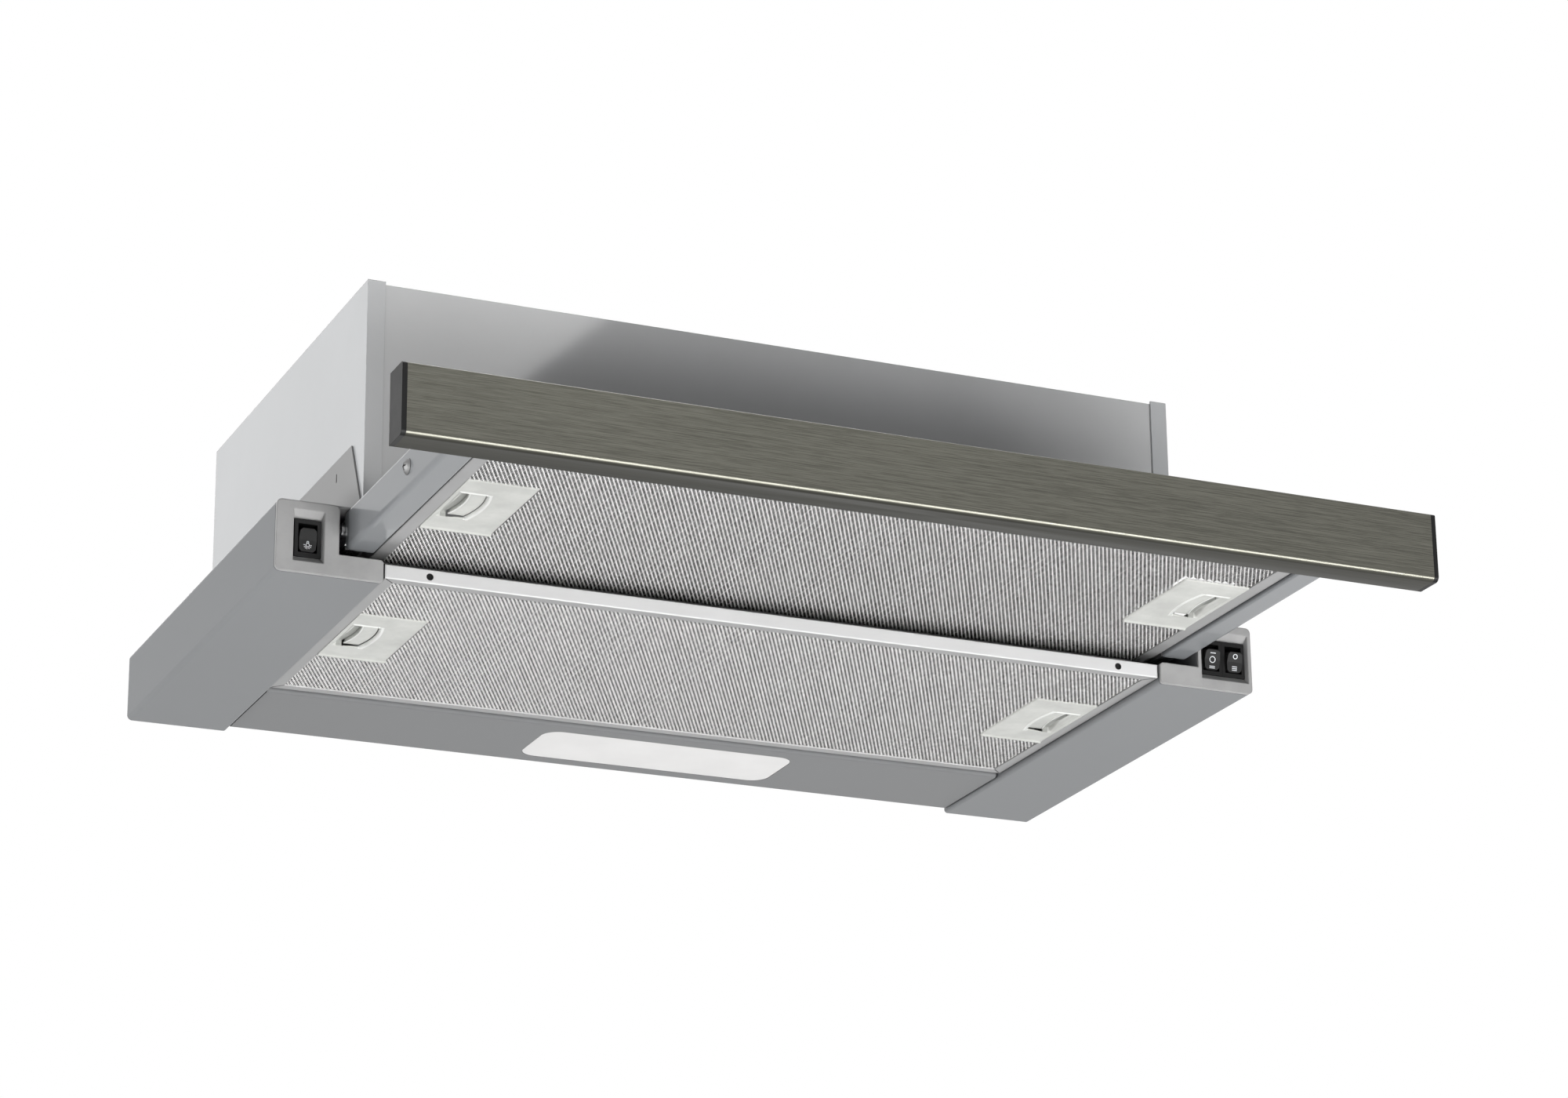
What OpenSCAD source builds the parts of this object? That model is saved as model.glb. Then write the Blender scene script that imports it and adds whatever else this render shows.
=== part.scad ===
// Pull-out range hood, shown with its carriage drawn out.
// x = 0 is the middle, y = 0 is the wall and z = 0 is the underside of the wall cabinet.
// The upper body stands inside the cabinet, the housings and the carriage hang below it.

/* [Overall] */
// Width over the side housings and the front panel
hood_w = 598; // [594:1:602]
// Depth from the wall to the front of the side housings
hood_d = 292; // [288:1:300]
// Thickness of the folded steel sheet
sheet = 1; // [0.8:0.1:1.2]

/* [Upper body] */
// Height of the upper body above the cabinet underside
body_h = 135.4; // [134:0.2:150]
// Distance from the front of the housings back to the upper body
body_setback = 2; // [1.5:0.5:4]
// Width of the return flanges at the front corners
return_w = 10.4; // [8:0.2:16]
// Depth of the front plate's top edge below the top of the side sheets
front_plate_drop = 1.5; // [0.5:0.5:3]
// Width of the base frame's rim round the air opening
base_rim = 24; // [18:1:30]

/* [Side housings] */
// Height of the side housings
housing_h = 40.6; // [39:0.2:46]
// Width of a housing's underside
leg_w = 60.9; // [58:0.1:66]
// Height of the housing's low inner leg
leg_h = 12.7; // [12:0.1:14]
// Width of the housing's tall outer box
box_w = 35.5; // [35:0.1:38]
// Outside radius of the housing's folds
housing_r = 3; // [2:0.5:4]
// Outside radius of the folds on the low inner leg
housing_leg_r = 2; // [1.5:0.5:3]
// Height of the mounting flange on the body side
bracket_h = 43.4; // [30:0.2:60]

/* [End caps] */
// Thickness of the end cap's face
cap_t = 2; // [1.6:0.2:3]
// Depth of the end cap's skirt inside the housing
cap_skirt = 12; // [8:1:20]
// Gap between the end cap's face and the housing's sheet
cap_seam = 0.6; // [0.2:0.1:1]
// Depth of the switch recess
recess_d = 4; // [3:0.5:5]
// Height of the switch recess at the face
recess_h = 29.6; // [28:0.2:31]
// Height of the recess's middle above the housings' underside
recess_rise = 21.1; // [20.5:0.1:22]

/* [Switches] */
// Width of one rocker switch
switch_w = 14.9; // [13:0.1:15]
// Height of one rocker switch
switch_h = 21.2; // [19:0.1:23]
// Height of a switch's middle above the housings' underside
switch_rise = 20.4; // [20:0.1:21]
// Distance from a housing's outer side to the middle of its switches
switch_set = 18.4; // [18:0.1:18.8]
// Depth of the switch body behind its frame
switch_body_d = 16; // [12:1:24]
// Angle that the light's rocker tilts to each side, in degrees
rocker_tilt = 10; // [6:1:12]
// Angle that the motor's two rockers tilt to each side, in degrees
motor_rocker_tilt = 14; // [10:1:16]

/* [Carriage] */
// Height of the carriage rails' underside above the housings' underside
rail_lift = 17.5; // [17:0.1:19]
// Gap between a rail and the housing beside it
rail_gap = 5.3; // [4:0.1:6]
// Width of a rail's bottom flange
rail_flange_w = 16.1; // [15.4:0.1:18]
// Length of a rail's underside that stays in the housing when drawn out
rail_overlap = 4; // [2:0.5:6]
// Height of the rail's inner lip
rail_lip_h = 15; // [13:0.5:17]
// Outside radius of the rail's lower fold
rail_r = 3; // [2:0.5:4]

/* [Slides] */
// Distance from the wall to the rear end of a ball slide
slide_tail = 8; // [4:1:20]
// Height of a ball slide
slide_h = 17; // [16:0.5:18]
// Thickness of the ball slide between hanger and rail
slide_w = 10.7; // [9.6:0.1:11.5]
// Distance from a ball slide out to the edge of the base frame
hanger_set = 2.3; // [2:0.1:5]
// Radius of the slide's balls
ball_r = 0.9; // [0.8:0.05:1]
// Number of balls in each row
balls_per_row = 6; // [3:1:8]

/* [Front panel] */
// Height of the front panel
panel_h = 39; // [38:0.5:50]
// Depth of the front panel
panel_d = 18.9; // [15:0.1:24]
// Height of the panel's underside above the housings' underside
panel_lift = 3.5; // [2:0.5:6]
// Thickness of the panel's end caps
panel_cap_t = 2.7; // [2:0.1:4]

/* [Grease filters] */
// Thickness of a filter
filter_t = 8; // [7.8:0.1:8.2]
// Gap between the rear filter and the light strip
filter_strip_gap = 4.5; // [4:0.5:8]
// Depth that the front filter has more than the rear one
front_filter_extra = 8; // [0:0.5:8.5]
// Overlap of the two filters with the carriage drawn out
filter_overlap = 20; // [14:1:30]
// Width of the rear filter's rim
rear_rim = 6.7; // [6:0.1:9]
// Width of the front filter's rim
front_rim = 8.4; // [7:0.1:10]
// Height of the rear filter's underside above the housings' underside
rear_filter_lift = 3.2; // [3:0.1:3.4]
// Pitch of the pleats in the filter mat
pleat_pitch = 5; // [4:0.5:8]
// Height of the pleats
pleat_h = 1.6; // [1:0.1:2]

/* [Filter latches] */
// Width of a latch plate
latch_w = 40.2; // [36:0.2:50]
// Length of a latch plate
latch_l = 76; // [66:1:90]
// Length of the finger recess
finger_l = 38; // [30:1:44]
// Width of the finger recess
finger_w = 18.5; // [17:0.1:22]
// Distance that a latch draws back
latch_travel = 4; // [3:0.5:4]

/* [Light] */
// Depth of the light strip
strip_d = 76; // [74:1:78]
// Length of the lamp lens
lens_l = 163; // [140:1:180]
// Width of the lamp lens
lens_w = 53; // [48:1:54]
// Radius of the lens corners
lens_r = 11; // [6:1:14]
// Distance of the lens from the middle of the hood
lens_x = 23.5; // [-40:0.5:40]
// Radius of the tubular lamp bulb
bulb_r = 12.5; // [10:0.5:13]

/* [Blower] */
// Outside radius of the fan wheel
wheel_r = 46; // [40:1:46]
// Width of the fan wheel
wheel_w = 76; // [60:2:76]
// Number of blades
blade_count = 32; // [20:1:36]
// Radius of the curve of a blade
blade_curve_r = 9; // [8:0.5:12]
// Thickness of a blade
blade_t = 0.9; // [0.8:0.1:1.2]
// Radius of the blower casing where it starts at the tongue
volute_r = 50; // [48:1:50]
// Growth of the casing radius at each quarter turn
volute_step = 4; // [3:0.5:4]
// Wall of the blower casing
volute_wall = 2; // [1.5:0.5:2.5]
// Depth of the blower outlet from front to back
outlet_d = 80; // [76:1:84]
// Radius of the air inlets
inlet_r = 36; // [30:1:40]
// Radius of the motor
motor_r = 42; // [36:1:44]
// Length of the motor
motor_l = 52; // [44:1:60]
// Radius of the motor shaft
shaft_r = 4; // [3:0.5:5]

/* [Duct collar] */
// Outside radius of the collar's sleeve
collar_r = 59.5; // [59:0.5:62]
// Height of the collar's sleeve
collar_h = 27; // [20:1:30]
// Wall of the collar's sleeve
collar_wall = 2; // [1.6:0.1:3]

/* [Fixings] */
// Radius of the holes for the cabinet screws
cabinet_hole_r = 2.75; // [2:0.25:3.5]
// Distance between the front and rear cabinet screws
cabinet_hole_pitch = 190; // [150:5:210]
// Radius of the cable gland's bore
gland_bore_r = 4; // [3:0.5:5]

/* [Hidden] */

$fn = 64;
// Overrun of every cut past the surface that it opens
over = 1;
// Clearance between pieces that fit inside one another
fit = 0.2;
// Running clearance between pieces that move past one another
run = 0.3;
// Radial clearance of a shaft or a pin in its hole
hinge_gap = 0.06;

// Colours
body_colour = [0.81, 0.81, 0.82];
front_colour = [0.68, 0.68, 0.69];
housing_colour = [0.58, 0.58, 0.60];
cap_colour = [0.65, 0.65, 0.64];
steel_colour = [0.43, 0.42, 0.38];
frame_colour = [0.78, 0.78, 0.77];
mat_colour = [0.62, 0.62, 0.61];
latch_colour = [0.85, 0.86, 0.84];
black_colour = [0.08, 0.08, 0.08];
zinc_colour = [0.70, 0.71, 0.72];
lens_colour = [0.90, 0.88, 0.88];
casing_colour = [0.20, 0.20, 0.21];

// Main planes and faces
half_w = hood_w / 2;
front_y = -hood_d;
bottom_z = -(housing_h + sheet);
body_front_y = front_y + body_setback;
plate_top_z = body_h - front_plate_drop;
box_x = half_w - box_w;
leg_x = half_w - leg_w;
rail_x = box_x - rail_gap;
lip_x = rail_x - rail_flange_w;
slide_x = rail_x - sheet - slide_w;
hanger_x = slide_x - sheet;
base_half = slide_x + hanger_set;
body_half = base_half + fit + sheet;

// Light strip
strip_lift = 2;
strip_rear_gap = 2;
strip_side_gap = 1.4;
strip_x = leg_x - strip_side_gap;
strip_y1 = -strip_rear_gap;
strip_y0 = strip_y1 - strip_d;
strip_z = bottom_z + strip_lift;
lens_y = (strip_y0 + strip_y1) / 2;

// Depths of the filters, which settle how far the carriage draws out
filter_seat = 1.5;
rear_filter_y = front_y + filter_seat;
filter_d = strip_y0 - filter_strip_gap - rear_filter_y;
front_filter_d = filter_d + front_filter_extra;
travel = filter_d - filter_overlap;

// Carriage planes with the carriage drawn out
close_gap = 0.4;
carriage_y = front_y - travel - close_gap;
rail_len = close_gap + travel + rail_overlap;
rail_z = bottom_z + rail_lift;
rail_top_z = -sheet - run;
slide_rise = 12.5;
slide_z = rail_z + slide_rise;
slide_inset = 14;
fixed_slide_y = front_y + slide_inset;
slide_len = hood_d - slide_inset - slide_tail;

// Filters
filter_side_gap = 1.4;
front_filter_side_gap = 1.7;
rear_filter_x = leg_x - filter_side_gap;
front_filter_x = lip_x - front_filter_side_gap;
rear_filter_z = bottom_z + rear_filter_lift;
front_filter_set = 4.4;
front_filter_y = carriage_y + front_filter_set;
front_filter_rise = 2;
front_filter_z = rail_z + front_filter_rise;
filter_wall = 0.8;

// Middles of the latches, a little in front of the middles of the filters
latch_set = 3.2;
rear_latch_y = rear_filter_y + filter_d / 2 - latch_set;
front_latch_y = front_filter_y + front_filter_d / 2 - latch_set;

// Latch bolts and the slots that they enter, above a filter's underside
bolt_w = 10;
bolt_h = 1.6;
bolt_out = 3;
bolt_z = 4.7;
latch_slot_l = bolt_w + 2 * run;
latch_slot_h = bolt_h + 2 * run;
latch_slot_z = bolt_z - run;

// Blower
duct_y = -hood_d / 2;
top_plate_z = plate_top_z - sheet;
volute_base_gap = 2;
wheel_z = volute_base_gap + volute_wall + volute_r + volute_step;
outlet_front = volute_r + 3 * volute_step;
wheel_y = duct_y + outlet_front - outlet_d / 2;
scroll_half = wheel_w / 2 + volute_step;
motor_gap = 16;
motor_x = scroll_half + volute_wall + motor_gap;
post_r = 4;
post_ring_r = 46;
bracket_ring_t = 2;
bracket_ring_rim = 1;

// Gland and terminal box
gland_inset = 55;
gland_x = body_half - gland_inset;
gland_y = -42;
gland_r = 8;

// A box between two opposite corners
module block(a, b) {
    translate(a) cube(b - a);
}

// A profile in x and z, drawn out from y0 to y1
module along_y(y0, y1) {
    translate([0, y1, 0]) rotate([90, 0, 0]) linear_extrude(y1 - y0) children();
}

// A profile in y and z, drawn out from x0 to x1
module along_x(x0, x1) {
    translate([x0, 0, 0]) rotate([90, 0, 90]) linear_extrude(x1 - x0) children();
}

// A profile in x and y, drawn out from z0 to z1
module along_z(z0, z1) {
    translate([0, 0, z0]) linear_extrude(z1 - z0) children();
}

// A flat rectangle between two opposite corners
module rect(a, b) {
    translate(a) square(b - a);
}

// A flat rectangle with round corners
module rounded_rect(a, b, r) {
    rect([a.x + r, a.y], [b.x - r, b.y]);
    rect([a.x, a.y + r], [b.x, b.y - r]);
    for (x = [a.x + r, b.x - r], y = [a.y + r, b.y - r]) {
        translate([x, y]) circle(r);
    }
}

// A quarter of a disc about c, towards the side that dir names with 1 and -1
module quarter(c, r, dir) {
    translate(c) intersection() {
        circle(r);
        translate([dir.x > 0 ? 0 : -r, dir.y > 0 ? 0 : -r]) square(r);
    }
}

// The bend of a folded sheet, with r outside
module bend(c, r, dir) {
    difference() {
        quarter(c, r, dir);
        translate(c) circle(r - sheet);
    }
}

// The left-hand twin of a right-hand piece
module left_hand() {
    mirror([1, 0, 0]) children();
}

// A round hole or rod along x, y or z
module rod_x(x0, x1, y, z, r) {
    translate([x0, y, z]) rotate([0, 90, 0]) cylinder(r = r, h = x1 - x0);
}

module rod_y(x, y0, y1, z, r) {
    translate([x, y1, z]) rotate([90, 0, 0]) cylinder(r = r, h = y1 - y0);
}

module rod_z(x, y, z0, z1, r) {
    translate([x, y, z0]) cylinder(r = r, h = z1 - z0);
}

// UPPER BODY

// Side sheets and rear wall, folded from one sheet with return flanges at the front
module body_wrap() {
    color(body_colour) along_z(-sheet, body_h) difference() {
        rect([-body_half, body_front_y], [body_half, 0]);
        rect([-body_half + sheet, body_front_y + sheet], [body_half - sheet, -sheet]);
        rect([-body_half + return_w, body_front_y - over],
            [body_half - return_w, body_front_y + sheet + over]);
    }
}

// Front plate behind the return flanges, with a stiffening fold along its top
plate_fold_d = 9;
module front_plate() {
    y0 = body_front_y + sheet;
    color(front_colour) {
        block([-base_half, y0, 0], [base_half, y0 + sheet, plate_top_z]);
        block([-base_half, y0, plate_top_z - 2 * sheet],
            [base_half, y0 + plate_fold_d, plate_top_z - sheet]);
    }
}

// Top plate, with the duct opening, the cable gland's hole and the collar's screw holes
collar_flange_r = 72;
collar_hole_ring_r = 67;
collar_hole_r = 1.8;
module top_plate() {
    y0 = body_front_y + 2 * sheet;
    color(body_colour) difference() {
        block([-base_half, y0, top_plate_z], [base_half, -sheet, plate_top_z]);
        rod_z(0, duct_y, top_plate_z - over, plate_top_z + over, collar_r - collar_wall);
        rod_z(gland_x, gland_y, top_plate_z - over, plate_top_z + over, gland_r + fit / 2);
        collar_hole_places() rod_z(0, 0, top_plate_z - over, plate_top_z + over, collar_hole_r);
    }
}

// The four places of the collar's screws
module collar_hole_places() {
    for (a = [45:90:315]) {
        translate([0, duct_y, 0]) rotate([0, 0, a]) translate([collar_hole_ring_r, 0, 0]) children();
    }
}

// Base frame round the air opening, with the hangers that carry the ball slides
hanger_inset = 12;
hanger_tail = 6;
module base_frame() {
    y0 = body_front_y + sheet;
    opening_y1 = strip_y0 - fit;
    hanger_bottom_z = slide_z - slide_h / 2 - run;
    color(housing_colour) {
        difference() {
            block([-base_half, y0, -sheet], [base_half, -sheet, 0]);
            block([-base_half + base_rim, y0 + base_rim, -sheet - over],
                [base_half - base_rim, opening_y1, over]);
        }
        for (s = [-1, 1]) {
            x0 = min(s * hanger_x, s * slide_x);
            x1 = max(s * hanger_x, s * slide_x);
            block([x0, front_y + hanger_inset, hanger_bottom_z], [x1, -hanger_tail, -sheet]);
        }
    }
}

// DUCT COLLAR AND DAMPERS

collar_flange_t = 2.5;
collar_ledge_w = 2.5;
collar_ledge_h = 1.5;
collar_bar_w = 5;
damper_t = 1.2;
damper_edge_gap = 1;
damper_pin_r = 1;
damper_barrel_r = 1.9;
damper_lift = 3;
damper_axis_y = 5;
collar_z = plate_top_z;

// Round outlet for a 120 mm duct, with a ledge and a cross bar that the dampers close against
module duct_collar() {
    inner_r = collar_r - collar_wall;
    color(black_colour) difference() {
        union() {
            rod_z(0, duct_y, collar_z, collar_z + collar_flange_t, collar_flange_r);
            rod_z(0, duct_y, collar_z, collar_z + collar_h, collar_r);
        }
        difference() {
            rod_z(0, duct_y, collar_z - over, collar_z + collar_h + over, inner_r);
            difference() {
                rod_z(0, duct_y, collar_z, collar_z + collar_ledge_h, inner_r + over);
                rod_z(0, duct_y, collar_z - over, collar_z + collar_ledge_h + over,
                    inner_r - collar_ledge_w);
            }
            block([-inner_r - over, duct_y - collar_bar_w / 2, collar_z],
                [inner_r + over, duct_y + collar_bar_w / 2, collar_z + collar_ledge_h]);
        }
        collar_hole_places() rod_z(0, 0, collar_z - over, collar_z + collar_flange_t + over, collar_hole_r);
        for (s = [-1, 1]) {
            rod_x(-collar_r - over, collar_r + over, duct_y + s * damper_axis_y,
                collar_z + collar_ledge_h + damper_lift, damper_pin_r + hinge_gap);
        }
    }
}

// Half-round flap with its barrel and pins, towards +y
module damper() {
    inner_r = collar_r - collar_wall;
    flap_r = inner_r - damper_edge_gap;
    half_pin = inner_r + collar_wall / 2;
    axis_z = collar_z + collar_ledge_h + damper_lift;
    flap_z = collar_z + collar_ledge_h + run;
    color(black_colour) translate([0, duct_y, 0]) {
        difference() {
            rod_z(0, 0, flap_z, flap_z + damper_t, flap_r);
            block([-flap_r - over, -flap_r - over, flap_z - over],
                [flap_r + over, damper_axis_y, flap_z + damper_t + over]);
        }
        barrel_half = flap_r - over;
        rod_x(-barrel_half, barrel_half, damper_axis_y, axis_z, damper_barrel_r);
        block([-barrel_half, damper_axis_y - damper_t / 2, flap_z],
            [barrel_half, damper_axis_y + damper_t / 2, axis_z]);
        rod_x(-half_pin, half_pin, damper_axis_y, axis_z, damper_pin_r);
    }
}

module damper_rear() {
    damper();
}

module damper_front() {
    translate([0, 2 * duct_y, 0]) mirror([0, 1, 0]) damper();
}

// Pan-head screws that hold the collar down
screw_slot_w = 0.9;
head_height_share = 0.6;
head_dome_share = 1.2;
module pan_screw(head_r, shank_r, shank_l) {
    head_h = head_r * head_height_share;
    dome_r = head_r * head_dome_share;
    difference() {
        rotate_extrude() intersection() {
            translate([0, head_h - dome_r]) circle(dome_r);
            square([head_r, head_h]);
        }
        for (a = [0, 90]) {
            rotate([0, 0, a]) block([-head_r / 2, -screw_slot_w / 2, head_h / 2],
                [head_r / 2, screw_slot_w / 2, head_h + over]);
        }
    }
    translate([0, 0, -shank_l]) cylinder(r = shank_r, h = shank_l + over / 2);
}

collar_screw_head_r = 3.4;
module collar_screws() {
    color(zinc_colour) collar_hole_places() {
        translate([0, 0, collar_z + collar_flange_t])
            pan_screw(collar_screw_head_r, collar_hole_r - fit, collar_flange_t + 3 * sheet);
    }
}

// BLOWER

// Flow area of the spiral casing in y and z, grown outwards by a wall
module volute(grow, top) {
    c1 = [wheel_y, wheel_z];
    c2 = [wheel_y - volute_step, wheel_z];
    c3 = [wheel_y - volute_step, wheel_z + volute_step];
    r1 = volute_r;
    r2 = volute_r + volute_step;
    r3 = volute_r + 2 * volute_step;
    front = c3.x - r3;
    tongue = front + outlet_d;
    quarter(c1, r1 + grow, [1, 1]);
    quarter(c2, r2 + grow, [1, -1]);
    quarter(c3, r3 + grow, [-1, -1]);
    rect([c2.x, c1.y - volute_step], [c1.x, c1.y + r1 + grow]);
    rect([c2.x - volute_step, c2.y], [c1.x, c3.y]);
    rect([front - grow, c3.y], [c1.x, top]);
    rect([c1.x, c1.y], [tongue + grow, top]);
}

// Half of the blower casing, with a belled inlet in its side
bell_wall = 1.5;
bell_d = 2.5;
module scroll_half_shell() {
    color(casing_colour) difference() {
        union() {
            difference() {
                along_x(0, scroll_half + volute_wall) volute(volute_wall, top_plate_z);
                along_x(-over, scroll_half) volute(0, top_plate_z + over);
            }
            rod_x(scroll_half - bell_d, scroll_half, wheel_y, wheel_z, inlet_r + bell_wall);
        }
        rod_x(scroll_half - bell_d - over, scroll_half + volute_wall + over, wheel_y, wheel_z, inlet_r);
        for (a = [30, 150, 270]) {
            translate([0, wheel_y, wheel_z]) rotate([a, 0, 0]) {
                rod_x(scroll_half - over, scroll_half + volute_wall + over, post_ring_r, 0,
                    post_stud_r + fit / 2);
            }
        }
    }
}

module scroll_right() {
    scroll_half_shell();
}

module scroll_left() {
    left_hand() scroll_half_shell();
}

// Forward-curved blades between two end rings and a middle disc on a hub
ring_t = 2.5;
ring_w = 4.5;
disc_t = 2;
hub_r = 12;
hub_l = 24;
blade_depth = 9;
blade_lean_share = 0.2;
module blade_section() {
    inner_r = wheel_r - blade_depth;
    // the curve's middle lies on this radius, so the blade leans forward at the rim
    pivot_r = inner_r + blade_depth * blade_lean_share;
    intersection() {
        difference() {
            circle(wheel_r - blade_t / 2);
            circle(inner_r);
        }
        translate([pivot_r, -blade_curve_r]) difference() {
            circle(blade_curve_r);
            circle(blade_curve_r - blade_t);
        }
        rect([0, -blade_curve_r], [wheel_r, blade_curve_r]);
    }
}

module fan_wheel() {
    bore_r = shaft_r + hinge_gap;
    color(mat_colour) translate([0, wheel_y, wheel_z]) rotate([0, 90, 0]) {
        difference() {
            translate([0, 0, -wheel_w / 2]) linear_extrude(wheel_w) {
                for (i = [0:blade_count - 1]) {
                    rotate(i * 360 / blade_count) blade_section();
                }
            }
            cylinder(r = hub_r, h = hub_l, center = true);
        }
        for (z = [-wheel_w / 2, wheel_w / 2 - ring_t]) {
            translate([0, 0, z]) difference() {
                cylinder(r = wheel_r, h = ring_t);
                translate([0, 0, -over]) cylinder(r = wheel_r - ring_w, h = ring_t + 2 * over);
            }
        }
        difference() {
            union() {
                cylinder(r = wheel_r - blade_t, h = disc_t, center = true);
                cylinder(r = hub_r, h = hub_l, center = true);
            }
            cylinder(r = bore_r, h = hub_l + 2 * over, center = true);
        }
    }
}

// Shaft of the motor, which carries the fan wheel
shaft_stub = 20;
module motor_shaft() {
    color(zinc_colour) rod_x(-shaft_stub, motor_x + motor_l + motor_gap / 2, wheel_y, wheel_z, shaft_r);
}

// Motor casing with cooling slots round its shell and two bearing bosses
motor_boss_r = 14;
motor_boss_l = 6;
motor_end_r = 38;
motor_end_t = 6;
motor_slot_w = 3;
motor_slot_count = 12;
module motor_case() {
    x0 = motor_x;
    x1 = motor_x + motor_l;
    bore_r = shaft_r + hinge_gap;
    color(zinc_colour) difference() {
        union() {
            rod_x(x0, x1, wheel_y, wheel_z, motor_end_r);
            rod_x(x0 + motor_end_t, x1 - motor_end_t, wheel_y, wheel_z, motor_r);
            rod_x(x0 - motor_boss_l, x1 + motor_boss_l, wheel_y, wheel_z, motor_boss_r);
        }
        rod_x(x0 - motor_boss_l - over, x1 + motor_boss_l + over, wheel_y, wheel_z, bore_r);
        for (i = [0:motor_slot_count - 1]) {
            translate([0, wheel_y, wheel_z]) rotate([i * 360 / motor_slot_count, 0, 0]) {
                block([x0 + 2 * motor_end_t, -motor_slot_w / 2, motor_end_r],
                    [x1 - 2 * motor_end_t, motor_slot_w / 2, motor_r + over]);
            }
        }
    }
}

// Mounting ring of the motor, on three posts that stand on the blower casing
post_stud_r = 2;
bracket_ring_w = 26;
module motor_bracket() {
    face_x = scroll_half + volute_wall;
    ring_x = motor_x - bracket_ring_t;
    ring_r = post_ring_r + post_r + bracket_ring_rim;
    color(zinc_colour) {
        difference() {
            rod_x(ring_x, motor_x, wheel_y, wheel_z, ring_r);
            rod_x(ring_x - over, motor_x + over, wheel_y, wheel_z, ring_r - bracket_ring_w);
        }
        for (a = [30, 150, 270]) {
            translate([0, wheel_y, wheel_z]) rotate([a, 0, 0]) {
                rod_x(face_x, ring_x + bracket_ring_t / 2, post_ring_r, 0, post_r);
                rod_x(face_x - volute_wall, face_x + post_stud_r, post_ring_r, 0, post_stud_r);
            }
        }
    }
}

// Run capacitor, standing on the base frame by its stud
capacitor_r = 14;
capacitor_h = 52;
capacitor_cap_h = 4;
capacitor_inset = 70;
capacitor_x = body_half - capacitor_inset;
capacitor_y = -36;
capacitor_tag_w = 6;
capacitor_tag_h = 9;
capacitor_tag_t = 0.8;
module capacitor() {
    color(frame_colour) {
        rod_z(capacitor_x, capacitor_y, 0, capacitor_h, capacitor_r);
        rod_z(capacitor_x, capacitor_y, capacitor_h, capacitor_h + capacitor_cap_h, capacitor_r - sheet);
        for (s = [-1, 1]) {
            translate([capacitor_x + s * capacitor_r / 2, capacitor_y, capacitor_h + capacitor_cap_h]) {
                block([-capacitor_tag_t / 2, -capacitor_tag_w / 2, 0],
                    [capacitor_tag_t / 2, capacitor_tag_w / 2, capacitor_tag_h]);
            }
        }
    }
}

// Terminal box under the top plate, with the terminal strip inside
terminal_l = 70;
terminal_w = 40;
terminal_h = 30;
terminal_wall = 2;
terminal_block_h = 12;
terminal_block_w = 14;
terminal_way_count = 4;
module terminal_box() {
    a = [gland_x - terminal_l / 2, gland_y - terminal_w / 2, top_plate_z - terminal_h];
    b = [gland_x + terminal_l / 2, gland_y + terminal_w / 2, top_plate_z];
    wall = [terminal_wall, terminal_wall, terminal_wall];
    way = (terminal_l - 4 * terminal_wall) / terminal_way_count;
    color(cap_colour) {
        difference() {
            block(a, b);
            block(a + wall, [b.x - terminal_wall, b.y - terminal_wall, b.z + over]);
        }
        difference() {
            block([a.x + 2 * terminal_wall, a.y + terminal_wall, a.z + terminal_wall],
                [b.x - 2 * terminal_wall, a.y + terminal_wall + terminal_block_w,
                    a.z + terminal_wall + terminal_block_h]);
            for (i = [1:terminal_way_count - 1]) {
                x = a.x + 2 * terminal_wall + i * way;
                block([x - terminal_wall / 4, a.y, a.z + terminal_wall + terminal_block_h / 2],
                    [x + terminal_wall / 4, b.y, b.z]);
            }
        }
    }
}

// Cable gland through the top plate, left without a cable
gland_flange_r = 11;
gland_flange_h = 3;
gland_dome_r = 10;
gland_dome_h = 8;
gland_tail = 6;
module cable_gland() {
    z0 = plate_top_z;
    color(black_colour) translate([gland_x, gland_y, 0]) difference() {
        union() {
            rod_z(0, 0, top_plate_z - gland_tail, z0, gland_r);
            translate([0, 0, z0]) cylinder(r = gland_flange_r, h = gland_flange_h, $fn = 6);
            rod_z(0, 0, z0 + gland_flange_h, z0 + gland_flange_h + gland_dome_h, gland_dome_r - sheet);
        }
        rod_z(0, 0, top_plate_z - gland_tail - over, z0 + gland_flange_h + gland_dome_h + over,
            gland_bore_r);
    }
}

// SIDE HOUSINGS

cabinet_hole_x = half_w - box_w / 2;

// L-shaped outline of a right-hand housing, moved inwards by inset
module housing_outline(inset) {
    box_r = max(housing_r - inset, sheet / 2);
    leg_r = max(housing_leg_r - inset, sheet / 2);
    rounded_rect([leg_x + inset, bottom_z + inset], [cabinet_hole_x, bottom_z + leg_h - inset], leg_r);
    rounded_rect([box_x + inset, bottom_z + inset], [half_w - inset, -sheet - inset], box_r);
}

// The two places of a housing's cabinet screws
module cabinet_hole_places() {
    for (s = [-1, 1]) {
        translate([cabinet_hole_x, duct_y + s * cabinet_hole_pitch / 2, 0]) children();
    }
}

// Folded sheet of a housing, closed at the wall, with the slot that the filter's latch enters
module housing() {
    color(housing_colour) difference() {
        along_y(front_y + cap_t + cap_seam, 0) housing_outline(0);
        along_y(front_y, -sheet) housing_outline(sheet);
        cabinet_hole_places() rod_z(0, 0, -2 * sheet - over, over, cabinet_hole_r);
        block([leg_x - over, rear_latch_y - latch_slot_l / 2, rear_filter_z + latch_slot_z],
            [leg_x + sheet + over, rear_latch_y + latch_slot_l / 2,
                rear_filter_z + latch_slot_z + latch_slot_h]);
    }
}

module right_housing() {
    housing();
}

module left_housing() {
    left_hand() housing();
}

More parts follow.
